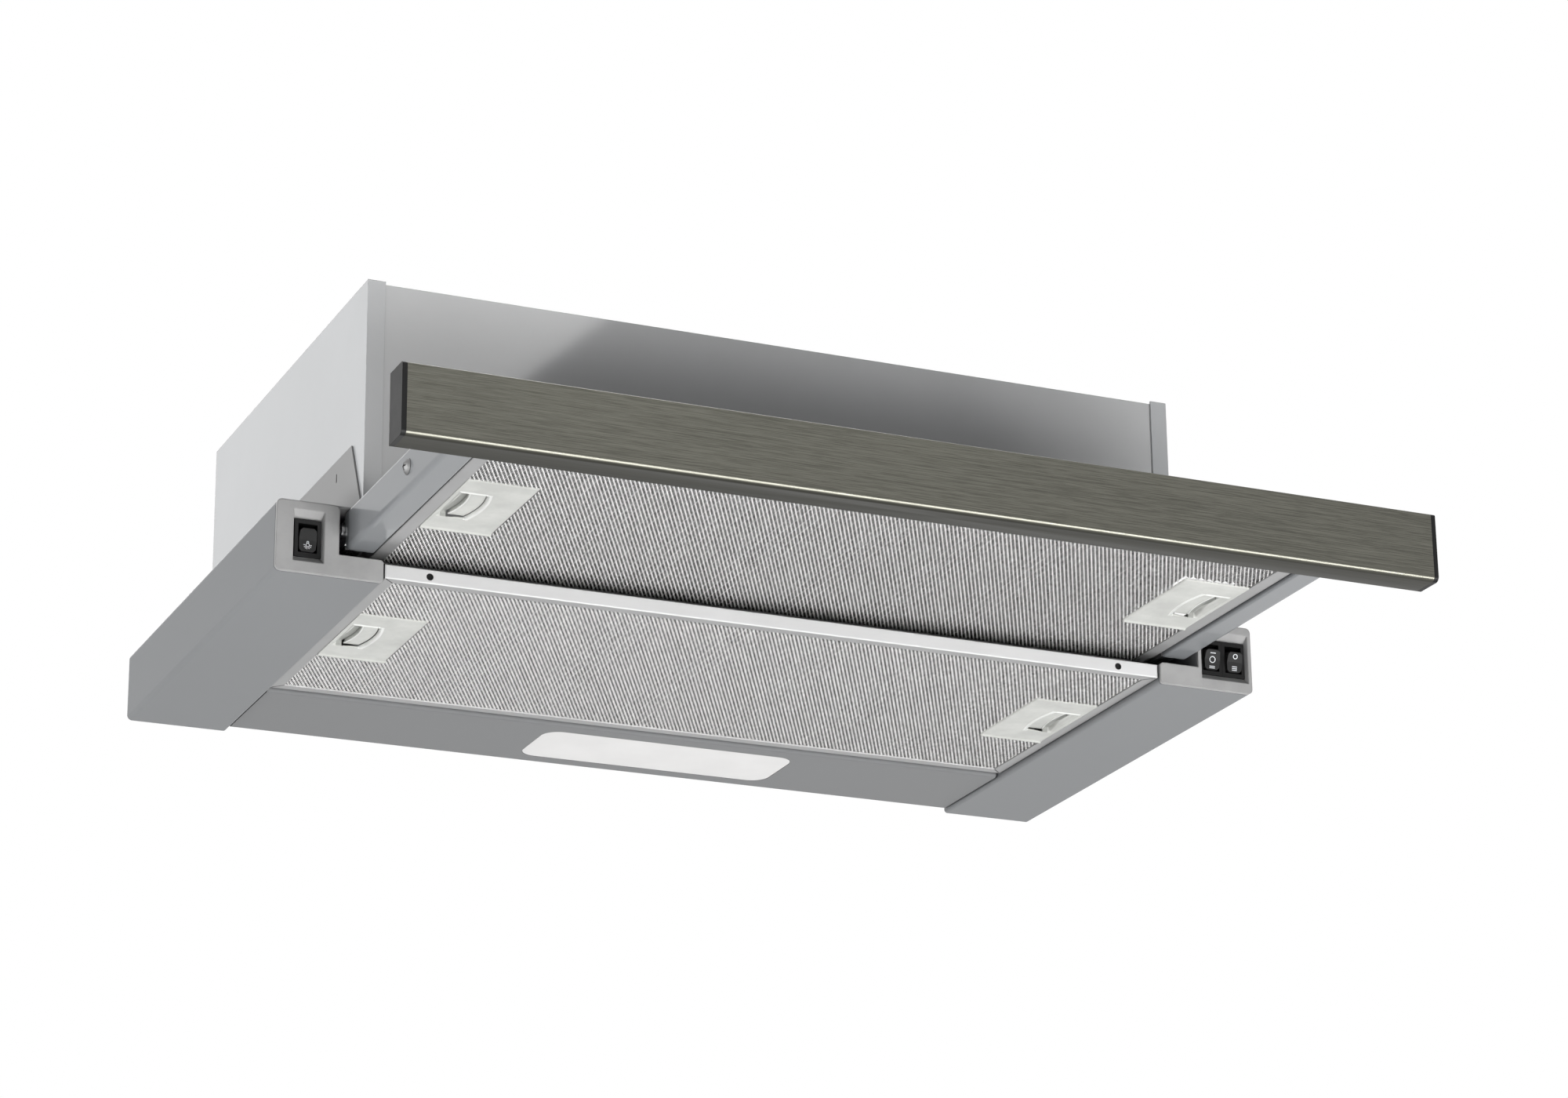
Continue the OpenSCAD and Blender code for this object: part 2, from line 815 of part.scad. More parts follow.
// Mounting flange: flat over the housing and bent up the side of the upper body
bracket_front = 21.7;
bracket_foot = 3;
bracket_tail = 6;
bracket_bend_r = 2;
bracket_slot_y = 46.5;
bracket_slot_w = 1.2;
bracket_slot_h = 5;
bracket_slot_drop = 8;
module bracket() {
    color(housing_colour) difference() {
        intersection() {
            along_y(front_y + bracket_foot, -bracket_tail) {
                rect([body_half, bracket_bend_r - sheet], [body_half + sheet, bracket_h]);
                bend([body_half + bracket_bend_r, bracket_bend_r - sheet], bracket_bend_r, [-1, -1]);
                rect([body_half + bracket_bend_r, -sheet], [half_w - housing_r, 0]);
            }
            along_x(body_half - over, half_w) polygon([
                [front_y + bracket_foot, -sheet],
                [front_y + bracket_foot, bracket_bend_r],
                [front_y + bracket_front, bracket_h],
                [-bracket_tail, bracket_h],
                [-bracket_tail, -sheet]
            ]);
        }
        cabinet_hole_places() rod_z(0, 0, -sheet - over, over, cabinet_hole_r);
        translate([body_half - over, front_y + bracket_slot_y,
            bracket_h - bracket_slot_drop - bracket_slot_h]) {
            cube([sheet + 2 * over, bracket_slot_w, bracket_slot_h]);
        }
    }
}

module right_bracket() {
    bracket();
}

module left_bracket() {
    left_hand() bracket();
}

// END CAPS AND SWITCHES

recess_z = bottom_z + recess_rise;
switch_z = bottom_z + switch_rise;
recess_slope = 1.3;
pocket_wall = 1;
switch_y = front_y + recess_d;
left_switch_x = -(half_w - switch_set);
right_pair_x = half_w - switch_set;
switch_frame_t = 1.8;
switch_step = 1;
switch_neck_w = switch_w - 2 * switch_step;
switch_neck_h = switch_h - 2 * switch_step;

// Recess from x0 to x1 at the floor, with slopes that widen it by low_slope and high_slope at the face
module recess_hollow(x0, x1, low_slope, high_slope) {
    hull() {
        block([x0 - low_slope, front_y - over, recess_z - recess_h / 2],
            [x1 + high_slope, front_y, recess_z + recess_h / 2]);
        block([x0 - fit / 2, switch_y - over, switch_z - switch_h / 2 - fit / 2],
            [x1 + fit / 2, switch_y, switch_z + switch_h / 2 + fit / 2]);
    }
}

// Moulded end cap of a right-hand housing, without its recess
cap_skirt_t = 1.4;
module cap_shell() {
    along_y(front_y, front_y + cap_t) housing_outline(0);
    difference() {
        along_y(front_y + cap_t, front_y + cap_skirt) housing_outline(sheet + fit);
        along_y(front_y + cap_t, front_y + cap_skirt + over) housing_outline(sheet + fit + cap_skirt_t);
    }
}

// Pocket behind the cap's face that holds the switches
module cap_pocket(x, w) {
    half = w / 2 + pocket_wall;
    block([x - half, front_y + cap_t / 2, recess_z - recess_h / 2 - pocket_wall],
        [x + half, switch_y + pocket_wall, recess_z + recess_h / 2 + pocket_wall]);
}

// Holes in the pocket's floor for the switch bodies
module switch_holes(xs) {
    for (x = xs) {
        block([x - switch_neck_w / 2 - fit, switch_y - over, switch_z - switch_neck_h / 2 - fit],
            [x + switch_neck_w / 2 + fit, switch_y + pocket_wall + over,
                switch_z + switch_neck_h / 2 + fit]);
    }
}

module left_cap() {
    color(cap_colour) difference() {
        union() {
            left_hand() cap_shell();
            cap_pocket(left_switch_x, switch_w);
        }
        recess_hollow(left_switch_x - switch_w / 2, left_switch_x + switch_w / 2, recess_slope,
            recess_slope);
        switch_holes([left_switch_x]);
    }
}

module right_cap() {
    xs = [right_pair_x - switch_w / 2, right_pair_x + switch_w / 2];
    color(cap_colour) difference() {
        union() {
            cap_shell();
            cap_pocket(right_pair_x, 2 * switch_w);
        }
        recess_hollow(right_pair_x - switch_w, right_pair_x + switch_w, fit / 2, recess_slope);
        switch_holes(xs);
    }
}

// Rocker switch: black frame in the recess, body behind it and two tags
rocker_w = 10.2;
rocker_h = 13.2;
motor_rocker_h = 12.2;
rocker_swing = 3.2;
rocker_drop = 0.4;
rocker_pivot_d = 2;
rocker_rise = 0.8;
motor_rocker_rise = 2.4;
rocker_valley = 0.3;
rocker_r = 6.5;
rocker_corner = 1.5;
rocker_taper = 0.5;
rocker_edge = 0.5;
rocker_pin_r = 1;
switch_tag_w = 4.8;
switch_tag_l = 7;
switch_tag_t = 0.8;
switch_wall = 1.2;
switch_gap = 0.1;
rocker_z = switch_z - rocker_drop;
module switch_frame(x) {
    front = switch_y - switch_frame_t;
    opening_w = rocker_w + 2 * run;
    opening_h = rocker_h + rocker_swing;
    color(black_colour) {
        difference() {
            union() {
                block([x - switch_w / 2 + switch_gap / 2, front, switch_z - switch_h / 2],
                    [x + switch_w / 2 - switch_gap / 2, switch_y, switch_z + switch_h / 2]);
                block([x - switch_neck_w / 2, switch_y, switch_z - switch_neck_h / 2],
                    [x + switch_neck_w / 2, switch_y + switch_body_d, switch_z + switch_neck_h / 2]);
            }
            block([x - opening_w / 2, front - over, switch_z - opening_h / 2],
                [x + opening_w / 2, switch_y + switch_body_d - switch_wall, switch_z + opening_h / 2]);
            rod_x(x - rocker_w / 2 - switch_wall, x + rocker_w / 2 + switch_wall,
                switch_y + rocker_pivot_d, rocker_z,
                rocker_pin_r + hinge_gap);
        }
        for (z = [-switch_neck_h / 4, switch_neck_h / 4]) {
            translate([x, switch_y + switch_body_d, switch_z + z]) {
                block([-switch_tag_w / 2, 0, -switch_tag_t / 2],
                    [switch_tag_w / 2, switch_tag_l, switch_tag_t / 2]);
            }
        }
    }
}

// Side outline of a rocker in y and z: two faces that meet at a shallow valley, on a round back
module rocker_side(rise, h) {
    face_y = switch_frame_t + rise + rocker_pivot_d;
    half_h = h / 2;
    intersection() {
        union() {
            circle(rocker_r);
            rect([-face_y, -half_h], [0, half_h]);
        }
        polygon([
            [-face_y, -half_h + rocker_edge],
            [-face_y + rocker_valley, 0],
            [-face_y, half_h - rocker_edge],
            [-face_y + rocker_edge, half_h],
            [0, half_h],
            [rocker_r, rocker_r],
            [rocker_r, -rocker_r],
            [0, -half_h],
            [-face_y + rocker_edge, -half_h]
        ]);
    }
}

// Front outline of a rocker in x and z: narrower at its ends, with cut corners
module rocker_front(h) {
    half_w = rocker_w / 2;
    half_h = h / 2;
    end_w = half_w - rocker_taper;
    polygon([
        [-half_w, 0], [-end_w, rocker_corner - half_h], [rocker_corner - end_w, -half_h],
        [end_w - rocker_corner, -half_h], [end_w, rocker_corner - half_h], [half_w, 0],
        [end_w, half_h - rocker_corner], [end_w - rocker_corner, half_h],
        [rocker_corner - end_w, half_h], [-end_w, half_h - rocker_corner]
    ]);
}

// Rocker of height h on its pins, turned by angle from its middle place so that its top stands out
module rocker(x, angle, rise, h) {
    pin_half = rocker_w / 2 + switch_wall - fit;
    color(black_colour) translate([x, switch_y + rocker_pivot_d, rocker_z]) rotate([angle, 0, 0]) {
        intersection() {
            along_x(-rocker_w / 2, rocker_w / 2) rocker_side(rise, h);
            along_y(-rocker_r, rocker_r) rocker_front(h);
        }
        rod_x(-pin_half, pin_half, 0, 0, rocker_pin_r);
    }
}

module light_switch_frame() {
    switch_frame(left_switch_x);
}

module speed_switch_frame() {
    switch_frame(right_pair_x - switch_w / 2);
}

module boost_switch_frame() {
    switch_frame(right_pair_x + switch_w / 2);
}

module light_rocker() {
    rocker(left_switch_x, rocker_tilt, rocker_rise, rocker_h);
}

module speed_rocker() {
    rocker(right_pair_x - switch_w / 2, motor_rocker_tilt, motor_rocker_rise, motor_rocker_h);
}

module boost_rocker() {
    rocker(right_pair_x + switch_w / 2, motor_rocker_tilt, motor_rocker_rise, motor_rocker_h);
}

// BALL SLIDES

slide_t = 1.2;
slide_lip = 0.6;
cage_t = 0.6;
slide_inner_step = 3.6;
inner_half_h = slide_h / 2 - slide_inner_step;
ball_z = (slide_h / 2 - slide_t + inner_half_h) / 2;
cage_len = 70;

// Outer channel, fixed to the hanger
module fixed_slide() {
    top = slide_h / 2;
    x0 = slide_x;
    x1 = rail_x - sheet - slide_t - run;
    color(zinc_colour) translate([0, 0, slide_z]) along_y(fixed_slide_y, fixed_slide_y + slide_len) {
        rect([x0, -top], [x0 + slide_t, top]);
        for (s = [-1, 1]) {
            rect([x0, min(s * top, s * (top - slide_t))], [x1, max(s * top, s * (top - slide_t))]);
            rect([x1 - slide_t, min(s * (top - slide_t - slide_lip), s * top)],
                [x1, max(s * (top - slide_t - slide_lip), s * top)]);
        }
    }
}

// Inner channel, screwed to the carriage rail, with a buffer disc on its tail
buffer_r = 4;
buffer_t = 2.6;
buffer_set = 11;
buffer_y = front_y + buffer_set;
rail_screw_set = 90.9;
rail_screw_y = carriage_y + rail_screw_set;
rail_screw_r = 1.9;
module moving_slide() {
    x1 = rail_x - sheet;
    x0 = slide_x + slide_t + 2 * run + cage_t;
    back_half = slide_h / 2 - slide_t - run;
    color(zinc_colour) difference() {
        translate([0, 0, slide_z]) along_y(fixed_slide_y - travel, fixed_slide_y + slide_len - travel) {
            rect([x1 - slide_t, -back_half], [x1, back_half]);
            for (s = [-1, 1]) {
                rect([x0, min(s * inner_half_h, s * (inner_half_h - slide_t))],
                    [x1, max(s * inner_half_h, s * (inner_half_h - slide_t))]);
            }
        }
        rod_x(x1 - slide_t - over, x1 + over, rail_screw_y, slide_z, rail_screw_r + fit / 2);
    }
    color(black_colour) difference() {
        rod_x(x1 - slide_t / 2, x1 + buffer_t, buffer_y, slide_z, buffer_r);
        rod_x(x1 + buffer_t / 2, x1 + buffer_t + over, buffer_y, slide_z, buffer_r / 2);
    }
}

// Ball retainer, which moves half as far as the inner channel
module ball_cage() {
    x0 = slide_x + slide_t + run;
    x1 = rail_x - sheet - slide_t - 3 * run;
    y0 = fixed_slide_y + (slide_len - travel - cage_len) / 2;
    pitch = cage_len / balls_per_row;
    color(zinc_colour) translate([0, 0, slide_z]) {
        along_y(y0, y0 + cage_len) {
            rect([x0, -ball_z - cage_t / 2], [x0 + cage_t, ball_z + cage_t / 2]);
            for (s = [-1, 1]) {
                rect([x0, s * ball_z - cage_t / 2], [x1 - slide_t, s * ball_z + cage_t / 2]);
            }
        }
        for (s = [-1, 1], i = [0:balls_per_row - 1]) {
            translate([(x0 + x1) / 2, y0 + (i + 1 / 2) * pitch, s * ball_z]) sphere(ball_r);
        }
    }
}

module right_fixed_slide() {
    fixed_slide();
}

module left_fixed_slide() {
    left_hand() fixed_slide();
}

module right_moving_slide() {
    moving_slide();
}

module left_moving_slide() {
    left_hand() moving_slide();
}

module right_ball_cage() {
    ball_cage();
}

module left_ball_cage() {
    left_hand() ball_cage();
}

// CARRIAGE

// Folded rail: web outside, flange and inner lip below, narrow flange above
rail_top_flange_w = 6;
rail_top_r = 2;
rail_bend_r = 1.5;
rail_lean = 4.4;
module rail() {
    top = rail_top_z;
    y1 = carriage_y + rail_len;
    color(housing_colour) difference() {
        along_y(carriage_y + sheet, y1 + rail_lean) {
            rect([rail_x - sheet, rail_z + rail_r], [rail_x, top - rail_top_r]);
            bend([rail_x - rail_r, rail_z + rail_r], rail_r, [1, -1]);
            rect([lip_x + rail_bend_r, rail_z], [rail_x - rail_r, rail_z + sheet]);
            bend([lip_x + rail_bend_r, rail_z + rail_bend_r], rail_bend_r, [-1, -1]);
            rect([lip_x, rail_z + rail_bend_r], [lip_x + sheet, rail_z + rail_lip_h]);
            bend([rail_x - rail_top_r, top - rail_top_r], rail_top_r, [1, 1]);
            rect([rail_x - rail_top_flange_w, top - sheet], [rail_x - rail_top_r, top]);
        }
        along_x(lip_x - over, rail_x + over) polygon([[y1, rail_z - over], [y1, rail_z],
            [y1 + rail_lean, top],
            [y1 + rail_lean, top + over], [y1 + rail_lean + over, top + over],
                [y1 + rail_lean + over, rail_z - over]]);
        rod_x(rail_x - sheet - over, rail_x + over, rail_screw_y, slide_z, rail_screw_r + fit / 2);
        block([lip_x - over, front_latch_y - latch_slot_l / 2, front_filter_z + latch_slot_z],
            [lip_x + sheet + over, front_latch_y + latch_slot_l / 2,
                front_filter_z + latch_slot_z + latch_slot_h]);
    }
}

module right_rail() {
    rail();
}

module left_rail() {
    left_hand() rail();
}

// Screws that hold the rails to the inner channels of the slides
rail_screw_head_r = 4.5;
module rail_screws() {
    color(zinc_colour) for (s = [-1, 1]) {
        translate([s * rail_x, rail_screw_y, slide_z]) rotate([0, s * 90, 0]) {
            pan_screw(rail_screw_head_r, rail_screw_r, sheet + slide_t);
        }
    }
}

// Angle that ties the rails together behind, above the front filter
bar_w = 14;
bar_upstand = 8;
bar_gap = 1.2;
module rear_bar() {
    z0 = front_filter_z + filter_t + bar_gap;
    y1 = carriage_y + rail_len - 2 * sheet;
    color(housing_colour) {
        block([-lip_x, y1 - bar_w, z0], [lip_x, y1, z0 + sheet]);
        block([-lip_x, y1 - sheet, z0], [lip_x, y1, z0 + bar_upstand]);
    }
}

// Plate that ties the rails together in front and carries the panel and the filter's front edge
front_bar_bottom = 14;
front_ledge_d = 8;
module front_bar() {
    color(housing_colour) {
        block([-rail_x, carriage_y, bottom_z + front_bar_bottom],
            [rail_x, carriage_y + sheet, rail_top_z - sheet]);
        block([-front_filter_x, carriage_y, front_filter_z - sheet],
            [front_filter_x, carriage_y + front_ledge_d, front_filter_z]);
    }
}

// FRONT PANEL

panel_z0 = bottom_z + panel_lift;
panel_z1 = panel_z0 + panel_h;
panel_y0 = carriage_y - panel_d;
panel_r = 3;
panel_top_r = 1.5;
panel_return_h = 9;

// Filled side outline of the panel in y and z, moved inwards by inset
module panel_outline(inset) {
    r0 = panel_r - inset;
    r1 = max(panel_top_r - inset, inset / 4);
    y0 = panel_y0 + inset;
    y1 = carriage_y - inset;
    z0 = panel_z0 + inset;
    z1 = panel_z1 - inset;
    rect([y0, z0 + r0], [y1, z1 - r1]);
    rect([y0 + r0, z0], [y1, z0 + r0]);
    rect([y0 + r1, z1 - r1], [y1, z1]);
    quarter([y0 + r0, z0 + r0], r0, [-1, -1]);
    if (r1 > 0) {
        quarter([y0 + r1, z1 - r1], r1, [-1, 1]);
    }
}

// Brushed steel sheet, folded back above and below
module front_panel() {
    end_x = half_w - panel_cap_t;
    color(steel_colour) along_x(-end_x, end_x) difference() {
        panel_outline(0);
        panel_outline(sheet);
        rect([carriage_y - sheet - over, panel_z0 + panel_return_h],
            [carriage_y + over, panel_z1 - panel_return_h]);
    }
}

// Moulded end cap of the panel with a plug that fills the folded sheet
panel_plug_l = 10;
module panel_cap() {
    end_x = half_w - panel_cap_t;
    color(black_colour) {
        along_x(end_x, half_w) panel_outline(0);
        along_x(end_x - panel_plug_l, end_x) difference() {
            panel_outline(sheet + fit);
            panel_outline(sheet + fit + panel_cap_t / 2);
        }
    }
}

module right_panel_cap() {
    panel_cap();
}

module left_panel_cap() {
    left_hand() panel_cap();
}

// GREASE FILTERS

drain_r = 1.5;
drain_inset = 25.7;
tab_w = 22;
tab_t = 1.2;
tab_l = 9;
tab_inset = 76.7;
tab_x = rear_filter_x - tab_inset;

// Filter frame of half width hx and depth d, with its front lower edge at y0 and z0
module filter_frame(hx, d, y0, z0, rim, latch_y) {
    y1 = y0 + d;
    z1 = z0 + filter_t;
    w = filter_wall;
    difference() {
        block([-hx, y0, z0], [hx, y1, z1]);
        block([-hx + w, y0 + w, z0 + w], [hx - w, y1 - w, z1 - w]);
        block([-hx + rim, y0 + rim, z0 - over], [hx - rim, y1 - rim, z1 + over]);
        for (s = [-1, 1]) {
            rod_y(s * (hx - drain_inset), y0 - over, y0 + w + over, z0 + filter_t / 2, drain_r);
            block([s * hx - w - over, latch_y - bolt_w / 2 - fit, z0 + bolt_z - fit],
                [s * hx + w + over, latch_y + bolt_w / 2 + fit, z0 + bolt_z + bolt_h + fit]);
        }
    }
}

module rear_filter_frame() {
    y1 = rear_filter_y + filter_d;
    tab_z = strip_z + strip_lip_h + fit;
    color(frame_colour) {
        filter_frame(rear_filter_x, filter_d, rear_filter_y, rear_filter_z, rear_rim, rear_latch_y);
        for (s = [-1, 1]) {
            block([s * tab_x - tab_w / 2, y1 - filter_wall, tab_z],
                [s * tab_x + tab_w / 2, y1 + tab_l, tab_z + tab_t]);
        }
    }
}

module front_filter_frame() {
    color(frame_colour) {
        filter_frame(front_filter_x, front_filter_d, front_filter_y, front_filter_z, front_rim,
            front_latch_y);
    }
}

// Pleated mat of expanded aluminium, cut out round the two latches
module filter_mat(hx, d, y0, z0, rim, latch_y) {
    w = filter_wall;
    gap = fit / 2;
    half = hx - w - run;
    count = floor(2 * half / pleat_pitch);
    step = 2 * half / count;
    low = w + gap;
    high = filter_t - w - gap;
    lower = [for (i = [0:count - 1], k = [0, 1]) [-half + (i + k / 2) * step,
        k == 0 ? low : low + pleat_h]];
    upper = [for (i = [count - 1:-1:0], k = [1, 0]) [-half + (i + k / 2) * step,
        k == 0 ? high - pleat_h : high]];
    difference() {
        translate([0, 0, z0]) along_y(y0 + w + run, y0 + d - w - run) {
            polygon(concat(lower, [[half, low], [half, high - pleat_h]], upper));
        }
        for (s = [-1, 1]) {
            x0 = hx - rim - latch_w - fit;
            block([min(s * x0, s * hx), latch_y - latch_l / 2 - fit, z0 - over],
                [max(s * x0, s * hx), latch_y + latch_l / 2 + fit, z0 + filter_t + over]);
        }
    }
}

module rear_filter_mat() {
    color(mat_colour) filter_mat(rear_filter_x, filter_d, rear_filter_y, rear_filter_z, rear_rim,
        rear_latch_y);
}

module front_filter_mat() {
    color(mat_colour) {
        filter_mat(front_filter_x, front_filter_d, front_filter_y, front_filter_z, front_rim,
            front_latch_y);
    }
}

// FILTER LATCHES

finger_edge = 2.2;
finger_bow_d = 3;
finger_bow_r = (finger_l * finger_l / 4 + finger_bow_d * finger_bow_d) / (2 * finger_bow_d);
skin_t = 1.2;
pocket_d = 3.6;
finger_tab_w = 9.9;
finger_tab_bow_d = 1.5;
channel_w = finger_l - sheet;

// Flat area of the finger recess, with its inner edge bowed towards the middle of the hood
module finger_area(xo) {
    x_in = xo - finger_edge - finger_w;
    intersection() {
        rect([x_in, -finger_l / 2], [xo - finger_edge, finger_l / 2]);
        translate([x_in + finger_bow_r, 0]) circle(finger_bow_r, $fn = 128);
    }
}

// Moulded plate in the filter: a face with the finger recess, and a channel for the latch behind it
module latch_plate(hx, z0, rim, latch_y) {
    xo = hx - rim;
    xi = xo - latch_w;
    x_in = xo - finger_edge - finger_w;
    high = filter_t - filter_wall;
    color(latch_colour) translate([0, latch_y, z0]) difference() {
        union() {
            block([xi, -latch_l / 2, 0], [xo, latch_l / 2, high]);
            block([xo - over, -latch_l / 2, filter_wall], [hx - filter_wall - fit, latch_l / 2, high]);
        }
        along_z(-over, pocket_d) finger_area(xo);
        block([x_in - latch_travel - run, -channel_w / 2, skin_t],
            [x_in + finger_tab_w + finger_tab_bow_d + run, channel_w / 2, high - filter_wall]);
        block([x_in, -bolt_w / 2 - run, bolt_z - run], [hx, bolt_w / 2 + run, bolt_z + bolt_h + run]);
    }
}

// Latch: a curved finger tab below and a bolt that leaves the side of the filter
module latch(hx, z0, rim, latch_y) {
    x_in = hx - rim - finger_edge - finger_w;
    half = channel_w / 2 - run;
    color(latch_colour) translate([0, latch_y, z0]) {
        along_z(skin_t + run, bolt_z) difference() {
            intersection() {
                rect([x_in, -half], [x_in + finger_tab_w + finger_tab_bow_d, half]);
                translate([x_in + run + finger_bow_r, 0]) circle(finger_bow_r, $fn = 128);
            }
            translate([x_in + finger_tab_w + finger_bow_r, 0]) circle(finger_bow_r, $fn = 128);
        }
        block([x_in + run + finger_bow_d, -bolt_w / 2, bolt_z],
            [hx + bolt_out, bolt_w / 2, bolt_z + bolt_h]);
    }
}

module rear_right_latch_plate() {
    latch_plate(rear_filter_x, rear_filter_z, rear_rim, rear_latch_y);
}

module rear_left_latch_plate() {
    left_hand() rear_right_latch_plate();
}

module front_right_latch_plate() {
    latch_plate(front_filter_x, front_filter_z, front_rim, front_latch_y);
}

module front_left_latch_plate() {
    left_hand() front_right_latch_plate();
}

module rear_right_latch() {
    latch(rear_filter_x, rear_filter_z, rear_rim, rear_latch_y);
}

module rear_left_latch() {
    left_hand() rear_right_latch();
}

module front_right_latch() {
    latch(front_filter_x, front_filter_z, front_rim, front_latch_y);
}

module front_left_latch() {
    left_hand() front_right_latch();
}

// LIGHT

strip_lip_h = 3.4;
strip_r = 2;
lens_flange = 3;
lens_flange_t = 1.8;
lens_face_set = 0.2;

// Folded strip behind the rear filter, with the lens opening and an upright rear flange
module light_strip() {
    opening = [lens_l / 2, lens_w / 2];
    centre = [lens_x, lens_y];
    color(housing_colour) difference() {
        along_x(-strip_x, strip_x) {
            bend([strip_y0 + strip_r, strip_z + strip_r], strip_r, [-1, -1]);
            rect([strip_y0, strip_z + strip_r], [strip_y0 + sheet, strip_z + strip_lip_h]);
            rect([strip_y0 + strip_r, strip_z], [strip_y1 - strip_r, strip_z + sheet]);
            bend([strip_y1 - strip_r, strip_z + strip_r], strip_r, [1, -1]);
            rect([strip_y1 - sheet, strip_z + strip_r], [strip_y1, -sheet]);
        }
        along_z(strip_z - over, strip_z + sheet + over) rounded_rect(centre - opening, centre + opening,
            lens_r);
    }
}

// Frosted lens, set from above into the strip
module lamp_lens() {
    centre = [lens_x, lens_y];
    boss = [lens_l / 2 - fit, lens_w / 2 - fit];
    flange = [lens_l / 2 + lens_flange, lens_w / 2 + lens_flange];
    z0 = strip_z + sheet;
    color(lens_colour) {
        along_z(strip_z + lens_face_set, z0) rounded_rect(centre - boss, centre + boss, lens_r - fit);
        along_z(z0, z0 + lens_flange_t) rounded_rect(centre - flange, centre + flange,
            lens_r + lens_flange);
    }
}

// Folded tray that closes the lamp space above the lens
tray_gap = 3.4;
tray_top_gap = 2.6;
module lamp_tray() {
    outer = [lens_l / 2 + tray_gap + sheet, lens_w / 2 + tray_gap + sheet];
    wall = [sheet, sheet];
    centre = [lens_x, lens_y];
    z0 = strip_z + sheet;
    z1 = -sheet - tray_top_gap;
    color(zinc_colour) difference() {
        along_z(z0, z1) rect(centre - outer, centre + outer);
        along_z(z0 - over, z1 - sheet) rect(centre - outer + wall, centre + outer - wall);
    }
}

// Screw-base lamp holder on the end wall of the tray
holder_r = 13;
holder_l = 32;
socket_r = 7.2;
socket_l = 20;
lamp_rise = 19.5;
lamp_z = strip_z + lamp_rise;
lamp_end_x = lens_x + lens_l / 2 + tray_gap;
module lamp_holder() {
    color(latch_colour) difference() {
        union() {
            rod_x(lamp_end_x - holder_l, lamp_end_x, lens_y, lamp_z, holder_r - sheet);
            rod_x(lamp_end_x - holder_l / 3, lamp_end_x, lens_y, lamp_z, holder_r);
        }
        rod_x(lamp_end_x - holder_l - over, lamp_end_x - holder_l + socket_l, lens_y, lamp_z, socket_r);
    }
}

// Tubular bulb with its metal base in the holder
bulb_l = 60;
bulb_neck_l = 8;
module lamp_bulb() {
    x0 = lamp_end_x - holder_l;
    base_r = socket_r - fit;
    color(lens_colour) translate([x0, lens_y, lamp_z]) rotate([0, -90, 0]) rotate_extrude() {
        rect([0, -socket_l + fit], [base_r, fit]);
        rect([0, fit], [base_r + fit, bulb_neck_l]);
        rect([0, bulb_neck_l], [bulb_r, bulb_neck_l + bulb_l]);
        quarter([0, bulb_neck_l + bulb_l], bulb_r, [1, 1]);
    }
}

body_wrap();
front_plate();
top_plate();
base_frame();
duct_collar();
damper_front();
damper_rear();
scroll_left();
scroll_right();
fan_wheel();
motor_shaft();
motor_case();
motor_bracket();
capacitor();
terminal_box();
cable_gland();
left_housing();
right_housing();
left_cap();
right_cap();
left_bracket();
right_bracket();
light_switch_frame();
speed_switch_frame();
boost_switch_frame();
light_rocker();
speed_rocker();
boost_rocker();
left_fixed_slide();
right_fixed_slide();
left_ball_cage();
right_ball_cage();
left_moving_slide();
right_moving_slide();
left_rail();
right_rail();
rear_bar();
front_bar();
front_panel();
left_panel_cap();
right_panel_cap();
rear_filter_frame();
rear_filter_mat();
front_filter_frame();
front_filter_mat();
rear_left_latch_plate();
rear_right_latch_plate();
front_left_latch_plate();
front_right_latch_plate();
rear_left_latch();
rear_right_latch();
front_left_latch();
front_right_latch();
light_strip();
lamp_lens();
lamp_tray();
lamp_holder();
lamp_bulb();
rail_screws();
collar_screws();
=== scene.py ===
"""Dresses the pull-out range hood: finishes, filter nets, switch marks, trim, light and camera."""
import math

import bmesh
import bpy
from mathutils import Matrix, Vector


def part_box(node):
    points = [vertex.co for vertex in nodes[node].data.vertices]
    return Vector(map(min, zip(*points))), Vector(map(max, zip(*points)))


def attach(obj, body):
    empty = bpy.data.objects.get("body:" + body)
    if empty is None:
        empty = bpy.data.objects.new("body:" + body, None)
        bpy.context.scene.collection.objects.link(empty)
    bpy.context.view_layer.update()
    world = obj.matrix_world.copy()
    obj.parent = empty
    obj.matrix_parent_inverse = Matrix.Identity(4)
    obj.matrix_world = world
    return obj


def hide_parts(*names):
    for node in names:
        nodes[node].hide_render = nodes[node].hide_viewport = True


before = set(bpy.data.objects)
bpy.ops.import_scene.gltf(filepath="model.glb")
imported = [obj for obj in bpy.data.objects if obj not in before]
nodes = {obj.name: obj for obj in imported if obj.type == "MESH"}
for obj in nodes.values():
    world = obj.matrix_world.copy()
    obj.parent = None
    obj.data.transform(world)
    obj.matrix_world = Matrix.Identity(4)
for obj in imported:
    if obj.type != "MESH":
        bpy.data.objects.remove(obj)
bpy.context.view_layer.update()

# UPPER BODY
# The sides and the rear wall are folded from one steel sheet, with return flanges at the front. A front
# plate behind the flanges and a top plate close it. All are coated pale grey, smooth and slightly cool, the
# front plate a shade lighter.


def set_inputs(node, values):
    """Sets plain numbers or colours on a node's sockets by their labels."""
    for label, value in values.items():
        node.inputs[label].default_value = value


def new_material(name, metallic, roughness):
    """A material with its shader's plain numbers set on the sockets themselves."""
    material = bpy.data.materials.new(name)
    material.use_nodes = True
    tree = material.node_tree
    shader = tree.nodes["Principled BSDF"]
    set_inputs(shader, {"Metallic": metallic, "Roughness": roughness})
    coords = tree.nodes.new("ShaderNodeTexCoord")
    return material, tree, shader, coords


